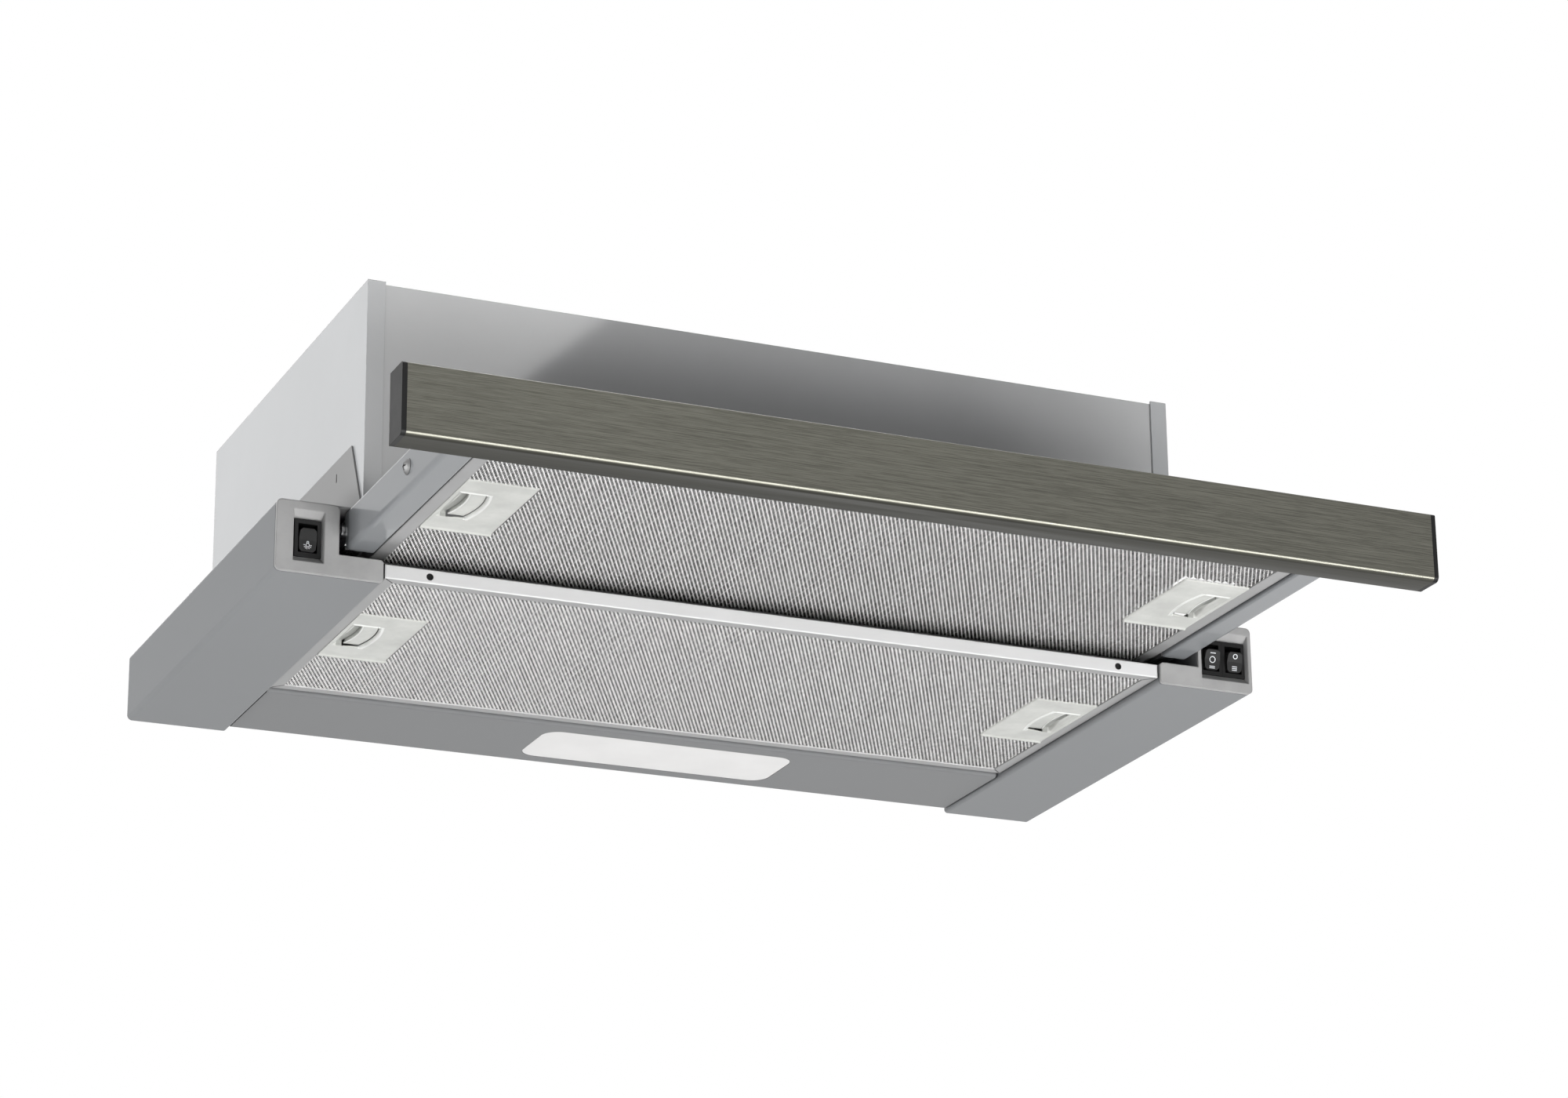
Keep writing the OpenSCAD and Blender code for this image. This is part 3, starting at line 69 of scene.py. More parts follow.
def add_noise(tree, coords, scale, detail=3.0, roughness=0.5, stretch=(1, 1, 1)):
    """Noise on the object's own coordinates in metres, stretched by a factor along each axis."""
    mapping = tree.nodes.new("ShaderNodeMapping")
    mapping.inputs["Scale"].default_value = stretch
    noise = tree.nodes.new("ShaderNodeTexNoise")
    set_inputs(noise, {"Scale": scale, "Detail": detail, "Roughness": roughness})
    tree.links.new(coords.outputs["Object"], mapping.inputs["Vector"])
    tree.links.new(mapping.outputs["Vector"], noise.inputs["Vector"])
    return noise.outputs["Fac"]


def grey(value, warm=0.0, green=0.0):
    """A linear grey for an sRGB value of 0 to 255, slightly warm or cool, and slightly green."""
    linear = ((value / 255 + 0.055) / 1.055) ** 2.4
    return (linear * (1 + warm), linear * (1 + green), linear * (1 - warm))


def add_tint(tree, shader, factor, first, last, low=0.35, high=0.65):
    """Base colour that runs from first to last as the factor goes from low to high."""
    ramp = tree.nodes.new("ShaderNodeValToRGB")
    for element, place, colour in zip(ramp.color_ramp.elements, (low, high), (first, last)):
        element.position = place
        element.color = (*colour, 1)
    tree.links.new(factor, ramp.inputs["Fac"])
    tree.links.new(ramp.outputs["Color"], shader.inputs["Base Color"])
    return ramp.outputs["Color"]


def add_gloss(tree, shader, factor, smoothest, roughest):
    """Roughness that runs from smoothest to roughest with the factor."""
    spread = tree.nodes.new("ShaderNodeMapRange")
    set_inputs(spread, {"From Min": 0.3, "From Max": 0.7, "To Min": smoothest, "To Max": roughest})
    tree.links.new(factor, spread.inputs["Value"])
    tree.links.new(spread.outputs["Result"], shader.inputs["Roughness"])


def add_bump(tree, shader, factor, distance, strength=1.0, edge=0.0):
    """Bump from the factor, over edges that are rounded by the given radius."""
    bump = tree.nodes.new("ShaderNodeBump")
    set_inputs(bump, {"Strength": strength, "Distance": distance})
    tree.links.new(factor, bump.inputs["Height"])
    if edge:
        bevel = tree.nodes.new("ShaderNodeBevel")
        bevel.samples = 4
        bevel.inputs["Radius"].default_value = edge
        tree.links.new(bevel.outputs["Normal"], bump.inputs["Normal"])
    tree.links.new(bump.outputs["Normal"], shader.inputs["Normal"])


def painted_sheet(name, value, warm, roughness, coat=0.0, edge=0.0006):
    """Smooth coated sheet: faint mottling, a thin clear coat if any, and softly rounded folds."""
    material, tree, shader, coords = new_material(name, 0.0, roughness)
    set_inputs(shader, {"Coat Weight": coat, "Coat Roughness": 0.05, "Coat IOR": 1.4,
                        "Specular IOR Level": 0.12})
    mottling = add_noise(tree, coords, scale=9.0, detail=4.0, roughness=0.6)
    add_tint(tree, shader, mottling, grey(value * 0.985, warm), grey(value * 1.015, warm))
    add_gloss(tree, shader, mottling, roughness * 0.92, roughness * 1.08)
    orange_peel = add_noise(tree, coords, scale=900.0, detail=1.0)
    add_bump(tree, shader, orange_peel, distance=0.00001, strength=0.1, edge=edge)
    return material


def paint(node_names, material):
    """Gives the material to these CAD nodes."""
    for name in node_names:
        nodes[name].data.materials.clear()
        nodes[name].data.materials.append(material)


body_paint = painted_sheet("body_paint", value=179, warm=-0.018, roughness=0.42, coat=1.0)
paint(["body_wrap", "top_plate"], body_paint)
front_paint = painted_sheet("front_paint", value=186, warm=-0.006, roughness=0.4, coat=1.0)
paint(["front_plate"], front_paint)

# BASE FRAME
# The frame round the air opening, with the hangers that carry the ball slides, is galvanised sheet.
# The zinc's large grains show as pale flakes that differ a little in shade and shine.
zinc_flakes, tree, shader, coords = new_material("zinc_flakes", metallic=0.85, roughness=0.42)
grains = tree.nodes.new("ShaderNodeTexVoronoi")
grains.inputs["Scale"].default_value = 160.0
grain_shade = tree.nodes.new("ShaderNodeSeparateColor")
tree.links.new(coords.outputs["Object"], grains.inputs["Vector"])
tree.links.new(grains.outputs["Color"], grain_shade.inputs["Color"])
add_tint(tree, shader, grain_shade.outputs["Red"], grey(158), grey(186), low=0.0, high=1.0)
add_gloss(tree, shader, grain_shade.outputs["Green"], 0.32, 0.5)
paint(["base_frame"], zinc_flakes)

# SIDE HOUSINGS AND BRACKETS
# The housings are folded from grey coated sheet with a silky shine. The brackets are their mounting flanges,
# flat over the housing and bent up the side of the body, of sheet that is coated a lighter grey.
housing_paint = painted_sheet("housing_paint", value=120, warm=-0.028, roughness=0.4)
paint(["left_housing", "right_housing"], housing_paint)
bracket_paint = painted_sheet("bracket_paint", value=146, warm=0.002, roughness=0.45)
paint(["left_bracket", "right_bracket"], bracket_paint)

# END CAPS
# Moulded grey caps close the fronts of the housings and hold the switches in a sloping recess.
# They are a little warmer and lighter than the sheet behind them, with soft edges.


def moulded(name, value, warm, roughness, grain=1600.0, edge=0.0004, green=0.0):
    """Moulded plastic with a fine spark-eroded grain."""
    material, tree, shader, coords = new_material(name, 0.0, roughness)
    shader.inputs["Specular IOR Level"].default_value = 0.18
    clouds = add_noise(tree, coords, scale=40.0, detail=4.0, roughness=0.6)
    add_tint(tree, shader, clouds, grey(value * 0.96, warm, green), grey(value * 1.04, warm, green))
    add_gloss(tree, shader, clouds, roughness * 0.9, roughness * 1.1)
    fine_grain = add_noise(tree, coords, scale=grain, detail=2.0)
    add_bump(tree, shader, fine_grain, distance=0.00003, strength=0.35, edge=edge)
    return material


cap_plastic = moulded("cap_plastic", value=150, warm=0.006, roughness=0.3, edge=0.0012)
paint(["left_cap", "right_cap"], cap_plastic)

# CARRIAGE
# The angled rails and the two cross bars are coated sheet like the housings, with a stronger shine.
# The bars tie the rails together in front and behind, and the front filter lies between them.
rail_paint = painted_sheet("rail_paint", value=118, warm=-0.04, roughness=0.3, coat=0.5)
paint(["left_rail", "right_rail", "rear_bar", "front_bar"], rail_paint)

# SLIDES, SHAFT AND SCREWS
# The channels and cages of the ball slides, the motor's shaft and bracket and the lamp's tray are plated
# with bright zinc, over long marks of rolling. The screws that hold the rails to the slides and the collar
# to the top plate are duller steel.


def plain_metal(name, value, warm, roughness, stretch=(1, 1, 1), scale=60.0, edge=0.0003):
    """Bare metal with rolling marks along its long side."""
    material, tree, shader, coords = new_material(name, 1.0, roughness)
    marks = add_noise(tree, coords, scale, detail=5.0, roughness=0.65, stretch=stretch)
    add_tint(tree, shader, marks, grey(value * 0.93, warm), grey(value * 1.04, warm))
    add_gloss(tree, shader, marks, roughness * 0.8, roughness * 1.2)
    add_bump(tree, shader, marks, distance=0.00002, strength=0.3, edge=edge)
    return material


zinc_plate = plain_metal("zinc_plate", value=190, warm=-0.01, roughness=0.3, stretch=(4, 0.5, 4),
                         scale=120.0)
paint(["left_fixed_slide", "right_fixed_slide", "left_moving_slide", "right_moving_slide",
       "left_ball_cage", "right_ball_cage", "motor_shaft", "motor_bracket", "lamp_tray"], zinc_plate)
screw_steel = plain_metal("screw_steel", value=120, warm=0.0, roughness=0.5)
paint(["rail_screws", "collar_screws"], screw_steel)

# FRONT PANEL
# A sheet of stainless steel, folded back above and below and brushed along its width, which leaves long
# fine scratches. Below the lower fold the steel is painted darker as painted shade, and the rounded fold
# itself has a painted highlight.
FOLD_TOP, FOLD_BOTTOM = -0.0352, -0.0370


def steel(value):
    """The warm, slightly green grey of stainless steel."""
    red, green, blue = grey(value)
    return (red, green * 0.985, blue * 0.84)


def add_fade(tree, vector, axis, start, end):
    """0 to 1 as one part of a vector goes from start to end."""
    parts = tree.nodes.new("ShaderNodeSeparateXYZ")
    fade = tree.nodes.new("ShaderNodeMapRange")
    set_inputs(fade, {"From Min": start, "From Max": end, "To Min": 0.0, "To Max": 1.0})
    tree.links.new(vector, parts.inputs["Vector"])
    tree.links.new(parts.outputs[axis], fade.inputs["Value"])
    return fade.outputs["Result"]


def lay_over(tree, shader, below, colour, factor):
    """Base colour that shows another colour over the one below, where the factor is 1."""
    mix = tree.nodes.new("ShaderNodeMix")
    mix.data_type = "RGBA"
    mix.inputs["B"].default_value = (*colour, 1)
    tree.links.new(factor, mix.inputs["Factor"])
    tree.links.new(below, mix.inputs["A"])
    tree.links.new(mix.outputs["Result"], shader.inputs["Base Color"])
    return mix.outputs["Result"]


brushed_steel, tree, shader, coords = new_material("brushed_steel", metallic=1.0, roughness=0.36)
long_marks = add_noise(tree, coords, scale=9.0, detail=6.0, roughness=0.7, stretch=(1.2, 260, 260))
fine_marks = add_noise(tree, coords, scale=2.0, detail=4.0, roughness=0.7, stretch=(30, 1900, 1900))
blend = tree.nodes.new("ShaderNodeMix")
blend.data_type = "FLOAT"
blend.inputs["Factor"].default_value = 0.6
tree.links.new(long_marks, blend.inputs["A"])
tree.links.new(fine_marks, blend.inputs["B"])
streaks = blend.outputs["Result"]
streak_colour = add_tint(tree, shader, streaks, steel(84), steel(112), low=0.42, high=0.58)
add_gloss(tree, shader, streaks, 0.36, 0.52)
# painted shade: the face below the lower fold is painted a darker steel
painted_shade_below_fold = add_fade(tree, coords.outputs["Object"], "Z", FOLD_TOP, FOLD_BOTTOM)
sheet_colour = lay_over(tree, shader, streak_colour, steel(66), painted_shade_below_fold)
# painted highlight: the rounded fold, where the surface turns from facing forwards to facing down, is
# painted brighter
facing = tree.nodes.new("ShaderNodeSeparateXYZ")
downwards = tree.nodes.new("ShaderNodeMath")
downwards.operation = "MULTIPLY"
downwards.inputs[1].default_value = -1.0
painted_fold_highlight = tree.nodes.new("ShaderNodeValToRGB")
tree.links.new(coords.outputs["Normal"], facing.inputs["Vector"])
tree.links.new(facing.outputs["Z"], downwards.inputs[0])
tree.links.new(downwards.outputs[0], painted_fold_highlight.inputs["Fac"])
for element, place, level in zip(painted_fold_highlight.color_ramp.elements, (0.3, 0.44), (0, 1)):
    element.position = place
    element.color = (level, level, level, 1)
for place, level in ((0.56, 1), (0.7, 0)):
    painted_fold_highlight.color_ramp.elements.new(place).color = (level, level, level, 1)
lay_over(tree, shader, sheet_colour, steel(126), painted_fold_highlight.outputs["Color"])
add_bump(tree, shader, streaks, distance=0.000012, strength=0.35, edge=0.0003)
shader.inputs["Anisotropic"].default_value = 0.6
paint(["front_panel"], brushed_steel)

# PANEL END CAPS
# Black moulded caps close the ends of the front panel, each with a plug that fills the folded sheet.
# From the front they show only as a narrow black edge.
panel_end_plastic = moulded("panel_end_plastic", value=16, warm=0.0, roughness=0.4)
paint(["left_panel_cap", "right_panel_cap"], panel_end_plastic)

# SWITCHES
# Black rocker switches in moulded black frames, which sit in the openings of the end caps.
# The rockers are a shade lighter and a little more matt than their frames.
switch_frame_plastic = moulded("switch_frame_plastic", value=20, warm=0.0, roughness=0.35, grain=2500.0,
                               edge=0.0002)
paint(["light_switch_frame", "speed_switch_frame", "boost_switch_frame"], switch_frame_plastic)
rocker_plastic = moulded("rocker_plastic", value=34, warm=0.0, roughness=0.42, grain=2500.0, edge=0.0003)
paint(["light_rocker", "speed_rocker", "boost_rocker"], rocker_plastic)

# SWITCH MARKS
# White printed marks on the rockers: a lamp with rays on the light's switch, rings and bars on the others.
# Each is a thin raised skin on the slightly hollow slope of its rocker's face, and tips with it.
ROCKER_PIVOT = Vector((0, -0.286, -0.0216))
FACE_HOLLOW, SKIN = 0.0003, 0.00005
mark_white, tree, shader, coords = new_material("mark_white", metallic=0.0, roughness=0.55)
specks = add_noise(tree, coords, scale=3000.0, detail=2.0)
add_tint(tree, shader, specks, grey(184, -0.03), grey(206, -0.03))


def mesh_of(name, bm):
    """A mesh made from the bmesh, which is freed."""
    mesh = bpy.data.meshes.new(name)
    bm.to_mesh(mesh)
    bm.free()
    return mesh


def add_piece(mesh, finishes, body):
    """A piece with these materials that rides on the body."""
    for finish in finishes:
        mesh.materials.append(finish)
    piece = bpy.data.objects.new(mesh.name, mesh)
    bpy.context.collection.objects.link(piece)
    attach(piece, body)
    return piece


def add_marks(name, rocker_node, tilt_deg, face, half, strokes):
    """Strokes are convex outlines of (x, z) in metres; face is how far it lies in front of the pivot."""
    low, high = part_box(rocker_node)
    pivot = ROCKER_PIVOT + Vector(((low.x + high.x) / 2, 0, 0))
    turn = Matrix.Rotation(math.radians(tilt_deg), 4, "X")
    bm = bmesh.new()

    def on_face(x, z, proud):
        depth = face - FACE_HOLLOW * (1 - abs(z) / half) + proud
        return bm.verts.new(pivot + turn @ Vector((x, -depth, z)))

    for stroke in strokes:
        front = [on_face(x, z, SKIN) for x, z in stroke]
        back = [on_face(x, z, -SKIN) for x, z in stroke]
        bm.faces.new(front)
        bm.faces.new(back[::-1])
        for i in range(len(stroke)):
            j = (i + 1) % len(stroke)
            bm.faces.new((front[j], front[i], back[i], back[j]))
    bmesh.ops.recalc_face_normals(bm, faces=bm.faces)
    add_piece(mesh_of(name, bm), [mark_white], rocker_node)


def bar(x, z, length, width):
    """A short level stroke."""
    return [(x - length / 2, z - width / 2), (x + length / 2, z - width / 2),
            (x + length / 2, z + width / 2), (x - length / 2, z + width / 2)]


def ring(x, z, radius, width, sides=20):
    """The quads of a ring."""
    strokes = []
    for i in range(sides):
        a, b = math.tau * i / sides, math.tau * (i + 1) / sides
        inner, outer = radius - width / 2, radius + width / 2
        strokes.append([(x + r * math.cos(angle), z + r * math.sin(angle))
                        for r, angle in ((inner, a), (outer, a), (outer, b), (inner, b))])
    return strokes


def ray(x, z, angle, near, far, width):
    """A stroke that points away from x, z."""
    along = Vector((math.cos(angle), math.sin(angle)))
    across = Vector((-along.y, along.x)) * width / 2
    origin = Vector((x, z))
    return [tuple(origin + along * near - across), tuple(origin + along * far - across),
            tuple(origin + along * far + across), tuple(origin + along * near + across)]


bulb = ring(0, -0.0027, radius=0.00095, width=0.0003)
bulb += ring(0, -0.0012, radius=0.00055, width=0.0003, sides=12)
rays = [ray(0, -0.0027, math.radians(degrees), near=0.00135, far=0.00235, width=0.0003)
        for degrees in (180, 212, 238, 262, 296, 327, 357)]
add_marks("light_mark", "light_rocker", tilt_deg=10, face=0.0046, half=0.0061, strokes=bulb + rays)
speed = [bar(0, 0.0039, length=0.0035, width=0.00055)] + ring(0, 0, radius=0.00175, width=0.0005, sides=28)
speed += [bar(0, z, length=0.0036, width=0.00045) for z in (-0.0040, -0.0049)]
add_marks("speed_marks", "speed_rocker", tilt_deg=14, face=0.0062, half=0.0056, strokes=speed)
boost = ring(0, 0.0034, radius=0.0013, width=0.0005, sides=24)
boost += [bar(0, z, length=0.0033, width=0.0005) for z in (-0.0026, -0.0037, -0.0047)]
add_marks("boost_marks", "boost_rocker", tilt_deg=14, face=0.0062, half=0.0056, strokes=boost)

# FILTER FRAMES
# The grease filters are framed in folded aluminium strip, satin and with softly rounded edges.
# Faces that point forwards get painted light, a paler grey. Each filter is held by two sprung latches.
filter_metal, tree, shader, coords = new_material("filter_aluminium", metallic=0.3, roughness=0.36)
satin = add_noise(tree, coords, scale=30.0, detail=4.0)
satin_colour = add_tint(tree, shader, satin, grey(140), grey(150))
add_gloss(tree, shader, satin, 0.32, 0.42)
add_bump(tree, shader, satin, distance=0.00001, strength=0.1, edge=0.0015)
# painted light: faces that point forwards are painted a paler grey
painted_light_front_faces = add_fade(tree, coords.outputs["Normal"], "Y", -0.5, -0.9)
lay_over(tree, shader, satin_colour, grey(210), painted_light_front_faces)
paint(["rear_filter_frame", "front_filter_frame"], filter_metal)

# MITRE SEAMS
# The corners of the filter frames are mitred, which shows as a hairline from each outer to each inner
# corner. Each is a thin dark bar let into the underside of the frame, whose depth and rim are given here.
REAR_DEPTH, REAR_RIM = 0.208, 0.0067
FRONT_DEPTH, FRONT_RIM = 0.216, 0.0084
SEAM_HALF, SEAM_START = 0.0002, 0.0008
SEAM_PROUD, SEAM_SUNK = 0.00004, 0.0002
# dark for the mitre seams, and painted shade where it fills the drain holes and the flange slots
seam_and_shade_dark = moulded("seam_lines_and_painted_shade", value=22, warm=0.0, roughness=0.6)


def add_seam_or_shade_piece(name, bm, body):
    """Makes a dark piece that rides on the body: a seam line, or painted shade in a hole or slot."""
    bmesh.ops.recalc_face_normals(bm, faces=bm.faces)
    add_piece(mesh_of(name, bm), [seam_and_shade_dark], body)


def add_prism(bm, outline, bottom, top):
    """A prism over a convex outline of (x, y) from height bottom to height top."""
    lower, upper = [[bm.verts.new((x, y, z)) for x, y in outline] for z in (bottom, top)]
    bm.faces.new(lower[::-1])
    bm.faces.new(upper)
    for i in range(len(outline)):
        j = (i + 1) % len(outline)
        bm.faces.new((lower[i], lower[j], upper[j], upper[i]))


def add_seams(name, frame_node, rim, depth, body):
    """The four mitre hairlines under a filter's frame."""
    low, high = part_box(frame_node)
    bm = bmesh.new()
    for x, step_x in ((low.x, 1), (high.x, -1)):
        for y, step_y in ((low.y, 1), (low.y + depth, -1)):
            outline = [(x + step_x * (along + side), y + step_y * (along - side))
                       for along, side in ((SEAM_START, -SEAM_HALF), (SEAM_START, SEAM_HALF),
                                           (rim, SEAM_HALF), (rim, -SEAM_HALF))]
            add_prism(bm, outline, low.z - SEAM_PROUD, low.z + SEAM_SUNK)
    add_seam_or_shade_piece(name, bm, body)


add_seams("rear_filter_seams", "rear_filter_frame", REAR_RIM, REAR_DEPTH, "hood")
add_seams("front_filter_seams", "front_filter_frame", FRONT_RIM, FRONT_DEPTH, "carriage")

# DRAIN HOLES
# Two small holes are punched in the front face of the rear filter's frame.
# Each has a low drawn rim; the rim and a disc just behind it are painted dark, painted shade for the inside
# of the hole.
DRAIN_INSET, DRAIN_SIDES = 0.0257, 24
# radius and depth behind the face of each corner of the rim's section, then of the disc of painted shade
RIM_SECTION = ((0.0014, 0.0005), (0.0014, -0.00008), (0.0018, -0.00008), (0.0021, 0.00002), (0.0021, 0.0005))
DISC_SECTION = ((0.0015, 0.0004), (0.0015, 0.0006))
drain_rings = bmesh.new()
frame_low, frame_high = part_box("rear_filter_frame")
angles = [math.tau * k / DRAIN_SIDES for k in range(DRAIN_SIDES)]
turns = [(math.sin(angle), math.cos(angle)) for angle in angles]


def turned_loops(centre, section):
    """One loop of vertices about the Y axis for each (radius, depth) of the section."""
    return [[drain_rings.verts.new(centre + Vector((radius * sx, deep, radius * sz))) for sx, sz in turns]
            for radius, deep in section]


def skin_loops(first, second):
    """The band of faces between two loops."""
    for k in range(DRAIN_SIDES):
        j = (k + 1) % DRAIN_SIDES
        drain_rings.faces.new((first[k], first[j], second[j], second[k]))


for x in (frame_low.x + DRAIN_INSET, frame_high.x - DRAIN_INSET):
    middle = Vector((x, frame_low.y, (frame_low.z + frame_high.z) / 2))
    loops = turned_loops(middle, RIM_SECTION)
    for first, second in zip(loops, loops[1:] + loops[:1]):
        skin_loops(first, second)
    disc_front, disc_back = turned_loops(middle, DISC_SECTION)
    drain_rings.faces.new(disc_front)
    drain_rings.faces.new(disc_back[::-1])
    skin_loops(disc_front, disc_back)
add_seam_or_shade_piece("drain_holes", drain_rings, "hood")

# FLANGE SLOTS
# A narrow upright slot is punched in each mounting flange where it is bent up beside the body.
# It is drawn as a thin strip of painted shade just outside the body's side.
SLOT_FRONT, SLOT_BACK = -0.2455, -0.2443
SLOT_BOTTOM, SLOT_TOP = 0.0304, 0.0354
SLOT_NEAR, SLOT_FAR = 0.00008, 0.0003
slots = bmesh.new()
wrap_low, wrap_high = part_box("body_wrap")
for x, step in ((wrap_low.x, -1), (wrap_high.x, 1)):
    near, far = x + step * SLOT_NEAR, x + step * SLOT_FAR
    outline = [(near, SLOT_FRONT), (far, SLOT_FRONT), (far, SLOT_BACK), (near, SLOT_BACK)]
    add_prism(slots, outline, SLOT_BOTTOM, SLOT_TOP)
add_seam_or_shade_piece("flange_slots", slots, "hood")

# FILTER MATS
# Behind the outer net lie the pleated inner layers of expanded aluminium, held in by the frame.
# Seen through the net they are painted as a dark grey cloth of metal: painted shade, darkest in the holes of
# its cells.
mat_metal, tree, shader, coords = new_material("mat_aluminium", metallic=0.1, roughness=0.5)
cells_with_shaded_holes = tree.nodes.new("ShaderNodeTexVoronoi")
cells_with_shaded_holes.feature = "DISTANCE_TO_EDGE"
cells_with_shaded_holes.inputs["Scale"].default_value = 620.0
tree.links.new(coords.outputs["Object"], cells_with_shaded_holes.inputs["Vector"])
# painted shade: grey on the strands of the cells and near black in their holes
add_tint(tree, shader, cells_with_shaded_holes.outputs["Distance"], grey(140), grey(38), low=0.05, high=0.3)
add_bump(tree, shader, cells_with_shaded_holes.outputs["Distance"], distance=0.0002, strength=0.6)
paint(["rear_filter_mat", "front_filter_mat"], mat_metal)

# FILTER NETS
# The outer layer is a net of expanded aluminium in the frame's window: zigzag strands that run from front
# to back and join where they touch. Every strand is twisted the same way, so one flank of each cell catches
# more light than the other.
STRAND_PITCH, CELL_LENGTH = 0.001225, 0.0046
RIDGE_HEIGHT, TWIST_HEIGHT = 0.00008, 0.00018
NET_LIFT, SIDE_PLAY, END_PLAY = 0.0005, 0.0004, 0.0006
PLATE_PLAY, PLATE_HALF_LENGTH = 0.0002, 0.0383
DENTS = (0.00004, 0.0001, 0.00013)
# where two strands join, their middles are this share of a strand's width apart
JOIN_SHARE = 0.4
strand_metal, tree, shader, coords = new_material("strand_aluminium", metallic=0.0, roughness=0.38)
shader.inputs["Specular IOR Level"].default_value = 0.2
glint = add_noise(tree, coords, scale=700.0, detail=2.0)
add_tint(tree, shader, glint, grey(180, 0.01), grey(234, 0.01))
add_gloss(tree, shader, glint, 0.3, 0.45)

net_tree = bpy.data.node_groups.new("expanded_net", "GeometryNodeTree")
net_tree.interface.new_socket("Geometry", in_out="OUTPUT", socket_type="NodeSocketGeometry")
sockets = {}
for label, value, kind in (
    ("Depth", 0.19, "Float"), ("Cells", 42, "Int"), ("Strands", 376, "Int"),
    ("Strand Pitch", STRAND_PITCH, "Float"), ("Strand Width", 0.0006, "Float"),
    ("Ridge", 0.0001, "Float"), ("Twist", 0.0002, "Float"), ("Plate Inner X", 0.19, "Float"),
    ("Plate Half Length", 0.038, "Float"), ("Plate Y", 0.0, "Float"), ("Seed", 3, "Int"),
    ("Material", None, "Material"),
):
    socket = net_tree.interface.new_socket(label, in_out="INPUT", socket_type="NodeSocket" + kind)
    if value is not None:
        socket.default_value = value
    sockets[label] = socket.identifier

add = net_tree.nodes.new
link = net_tree.links.new
given = add("NodeGroupInput").outputs
result = add("NodeGroupOutput")


def calc(operation, a, b=None):
    """A maths node on sockets or numbers."""
    node = add("ShaderNodeMath")
    node.operation = operation
    for socket, value in zip(node.inputs, (a, b)):
        if isinstance(value, (int, float)):
            socket.default_value = value
        elif value is not None:
            link(value, socket)
    return node.outputs[0]


# one zigzag strand: three points across, two steps along for each cell
strand = add("GeometryNodeMeshGrid")
strand.inputs["Size Y"].default_value = 0.001
strand.inputs["Vertices Y"].default_value = 3
link(given["Depth"], strand.inputs["Size X"])
link(calc("ADD", calc("MULTIPLY", given["Cells"], 2), 1), strand.inputs["Vertices X"])
index = add("GeometryNodeInputIndex").outputs[0]
across = calc("SUBTRACT", calc("MODULO", index, 3.0), 1.0)
zig = calc("SUBTRACT", calc("MODULO", calc("FLOOR", calc("DIVIDE", index, 3.0)), 2.0), 0.5)
place = add("ShaderNodeSeparateXYZ")
link(add("GeometryNodeInputPosition").outputs[0], place.inputs[0])
swing = calc("MULTIPLY", zig, calc("SUBTRACT", given["Strand Pitch"],
                                   calc("MULTIPLY", given["Strand Width"], JOIN_SHARE)))
lean = calc("MULTIPLY", across, calc("MULTIPLY", given["Strand Width"], 0.5))
drop = calc("MULTIPLY", calc("SUBTRACT", calc("ABSOLUTE", across), 1.0), given["Ridge"])
twist = calc("MULTIPLY", across, given["Twist"])
zigzag = add("ShaderNodeCombineXYZ")
link(calc("ADD", swing, lean), zigzag.inputs["X"])
link(place.outputs["X"], zigzag.inputs["Y"])
link(calc("ADD", drop, twist), zigzag.inputs["Z"])
bend = add("GeometryNodeSetPosition")
link(strand.outputs["Mesh"], bend.inputs["Geometry"])
link(zigzag.outputs[0], bend.inputs["Position"])

# the strands side by side, every other one half a cell further back
line = add("GeometryNodeMeshLine")
line.mode = "OFFSET"
first_place = add("ShaderNodeCombineXYZ")
step_aside = add("ShaderNodeCombineXYZ")
link(calc("MULTIPLY", calc("SUBTRACT", given["Strands"], 1), calc("MULTIPLY", given["Strand Pitch"], -0.5)),
     first_place.inputs["X"])
link(given["Strand Pitch"], step_aside.inputs["X"])
link(given["Strands"], line.inputs["Count"])
link(first_place.outputs[0], line.inputs["Start Location"])
link(step_aside.outputs[0], line.inputs["Offset"])
half_cell = calc("DIVIDE", given["Depth"], calc("MULTIPLY", given["Cells"], 2))
row = add("GeometryNodeInputIndex").outputs[0]
stagger = add("ShaderNodeCombineXYZ")
link(calc("MULTIPLY", calc("MODULO", row, 2.0), half_cell), stagger.inputs["Y"])
shift = add("GeometryNodeSetPosition")
link(line.outputs["Mesh"], shift.inputs["Geometry"])
link(stagger.outputs[0], shift.inputs["Offset"])
copies = add("GeometryNodeInstanceOnPoints")
link(shift.outputs["Geometry"], copies.inputs["Points"])
link(bend.outputs["Geometry"], copies.inputs["Instance"])
real = add("GeometryNodeRealizeInstances")
link(copies.outputs["Instances"], real.inputs["Geometry"])

# small random dents; the ends past the window and the places of the latch plates are left free
dent = add("FunctionNodeRandomValue")
dent.data_type = "FLOAT_VECTOR"
dent.inputs["Min"].default_value = [-most for most in DENTS]
dent.inputs["Max"].default_value = DENTS
link(given["Seed"], dent.inputs["Seed"])
shake = add("GeometryNodeSetPosition")
link(real.outputs["Geometry"], shake.inputs["Geometry"])
link(dent.outputs["Value"], shake.inputs["Offset"])
here = add("ShaderNodeSeparateXYZ")
link(add("GeometryNodeInputPosition").outputs[0], here.inputs[0])
outwards = calc("GREATER_THAN", calc("ABSOLUTE", here.outputs["X"]), given["Plate Inner X"])
from_plate = calc("ABSOLUTE", calc("SUBTRACT", here.outputs["Y"], given["Plate Y"]))
beside_plate = calc("LESS_THAN", from_plate, given["Plate Half Length"])
past_window = calc("GREATER_THAN", here.outputs["Y"], calc("MULTIPLY", given["Depth"], 0.5))
clear = add("GeometryNodeDeleteGeometry")
clear.domain = "FACE"
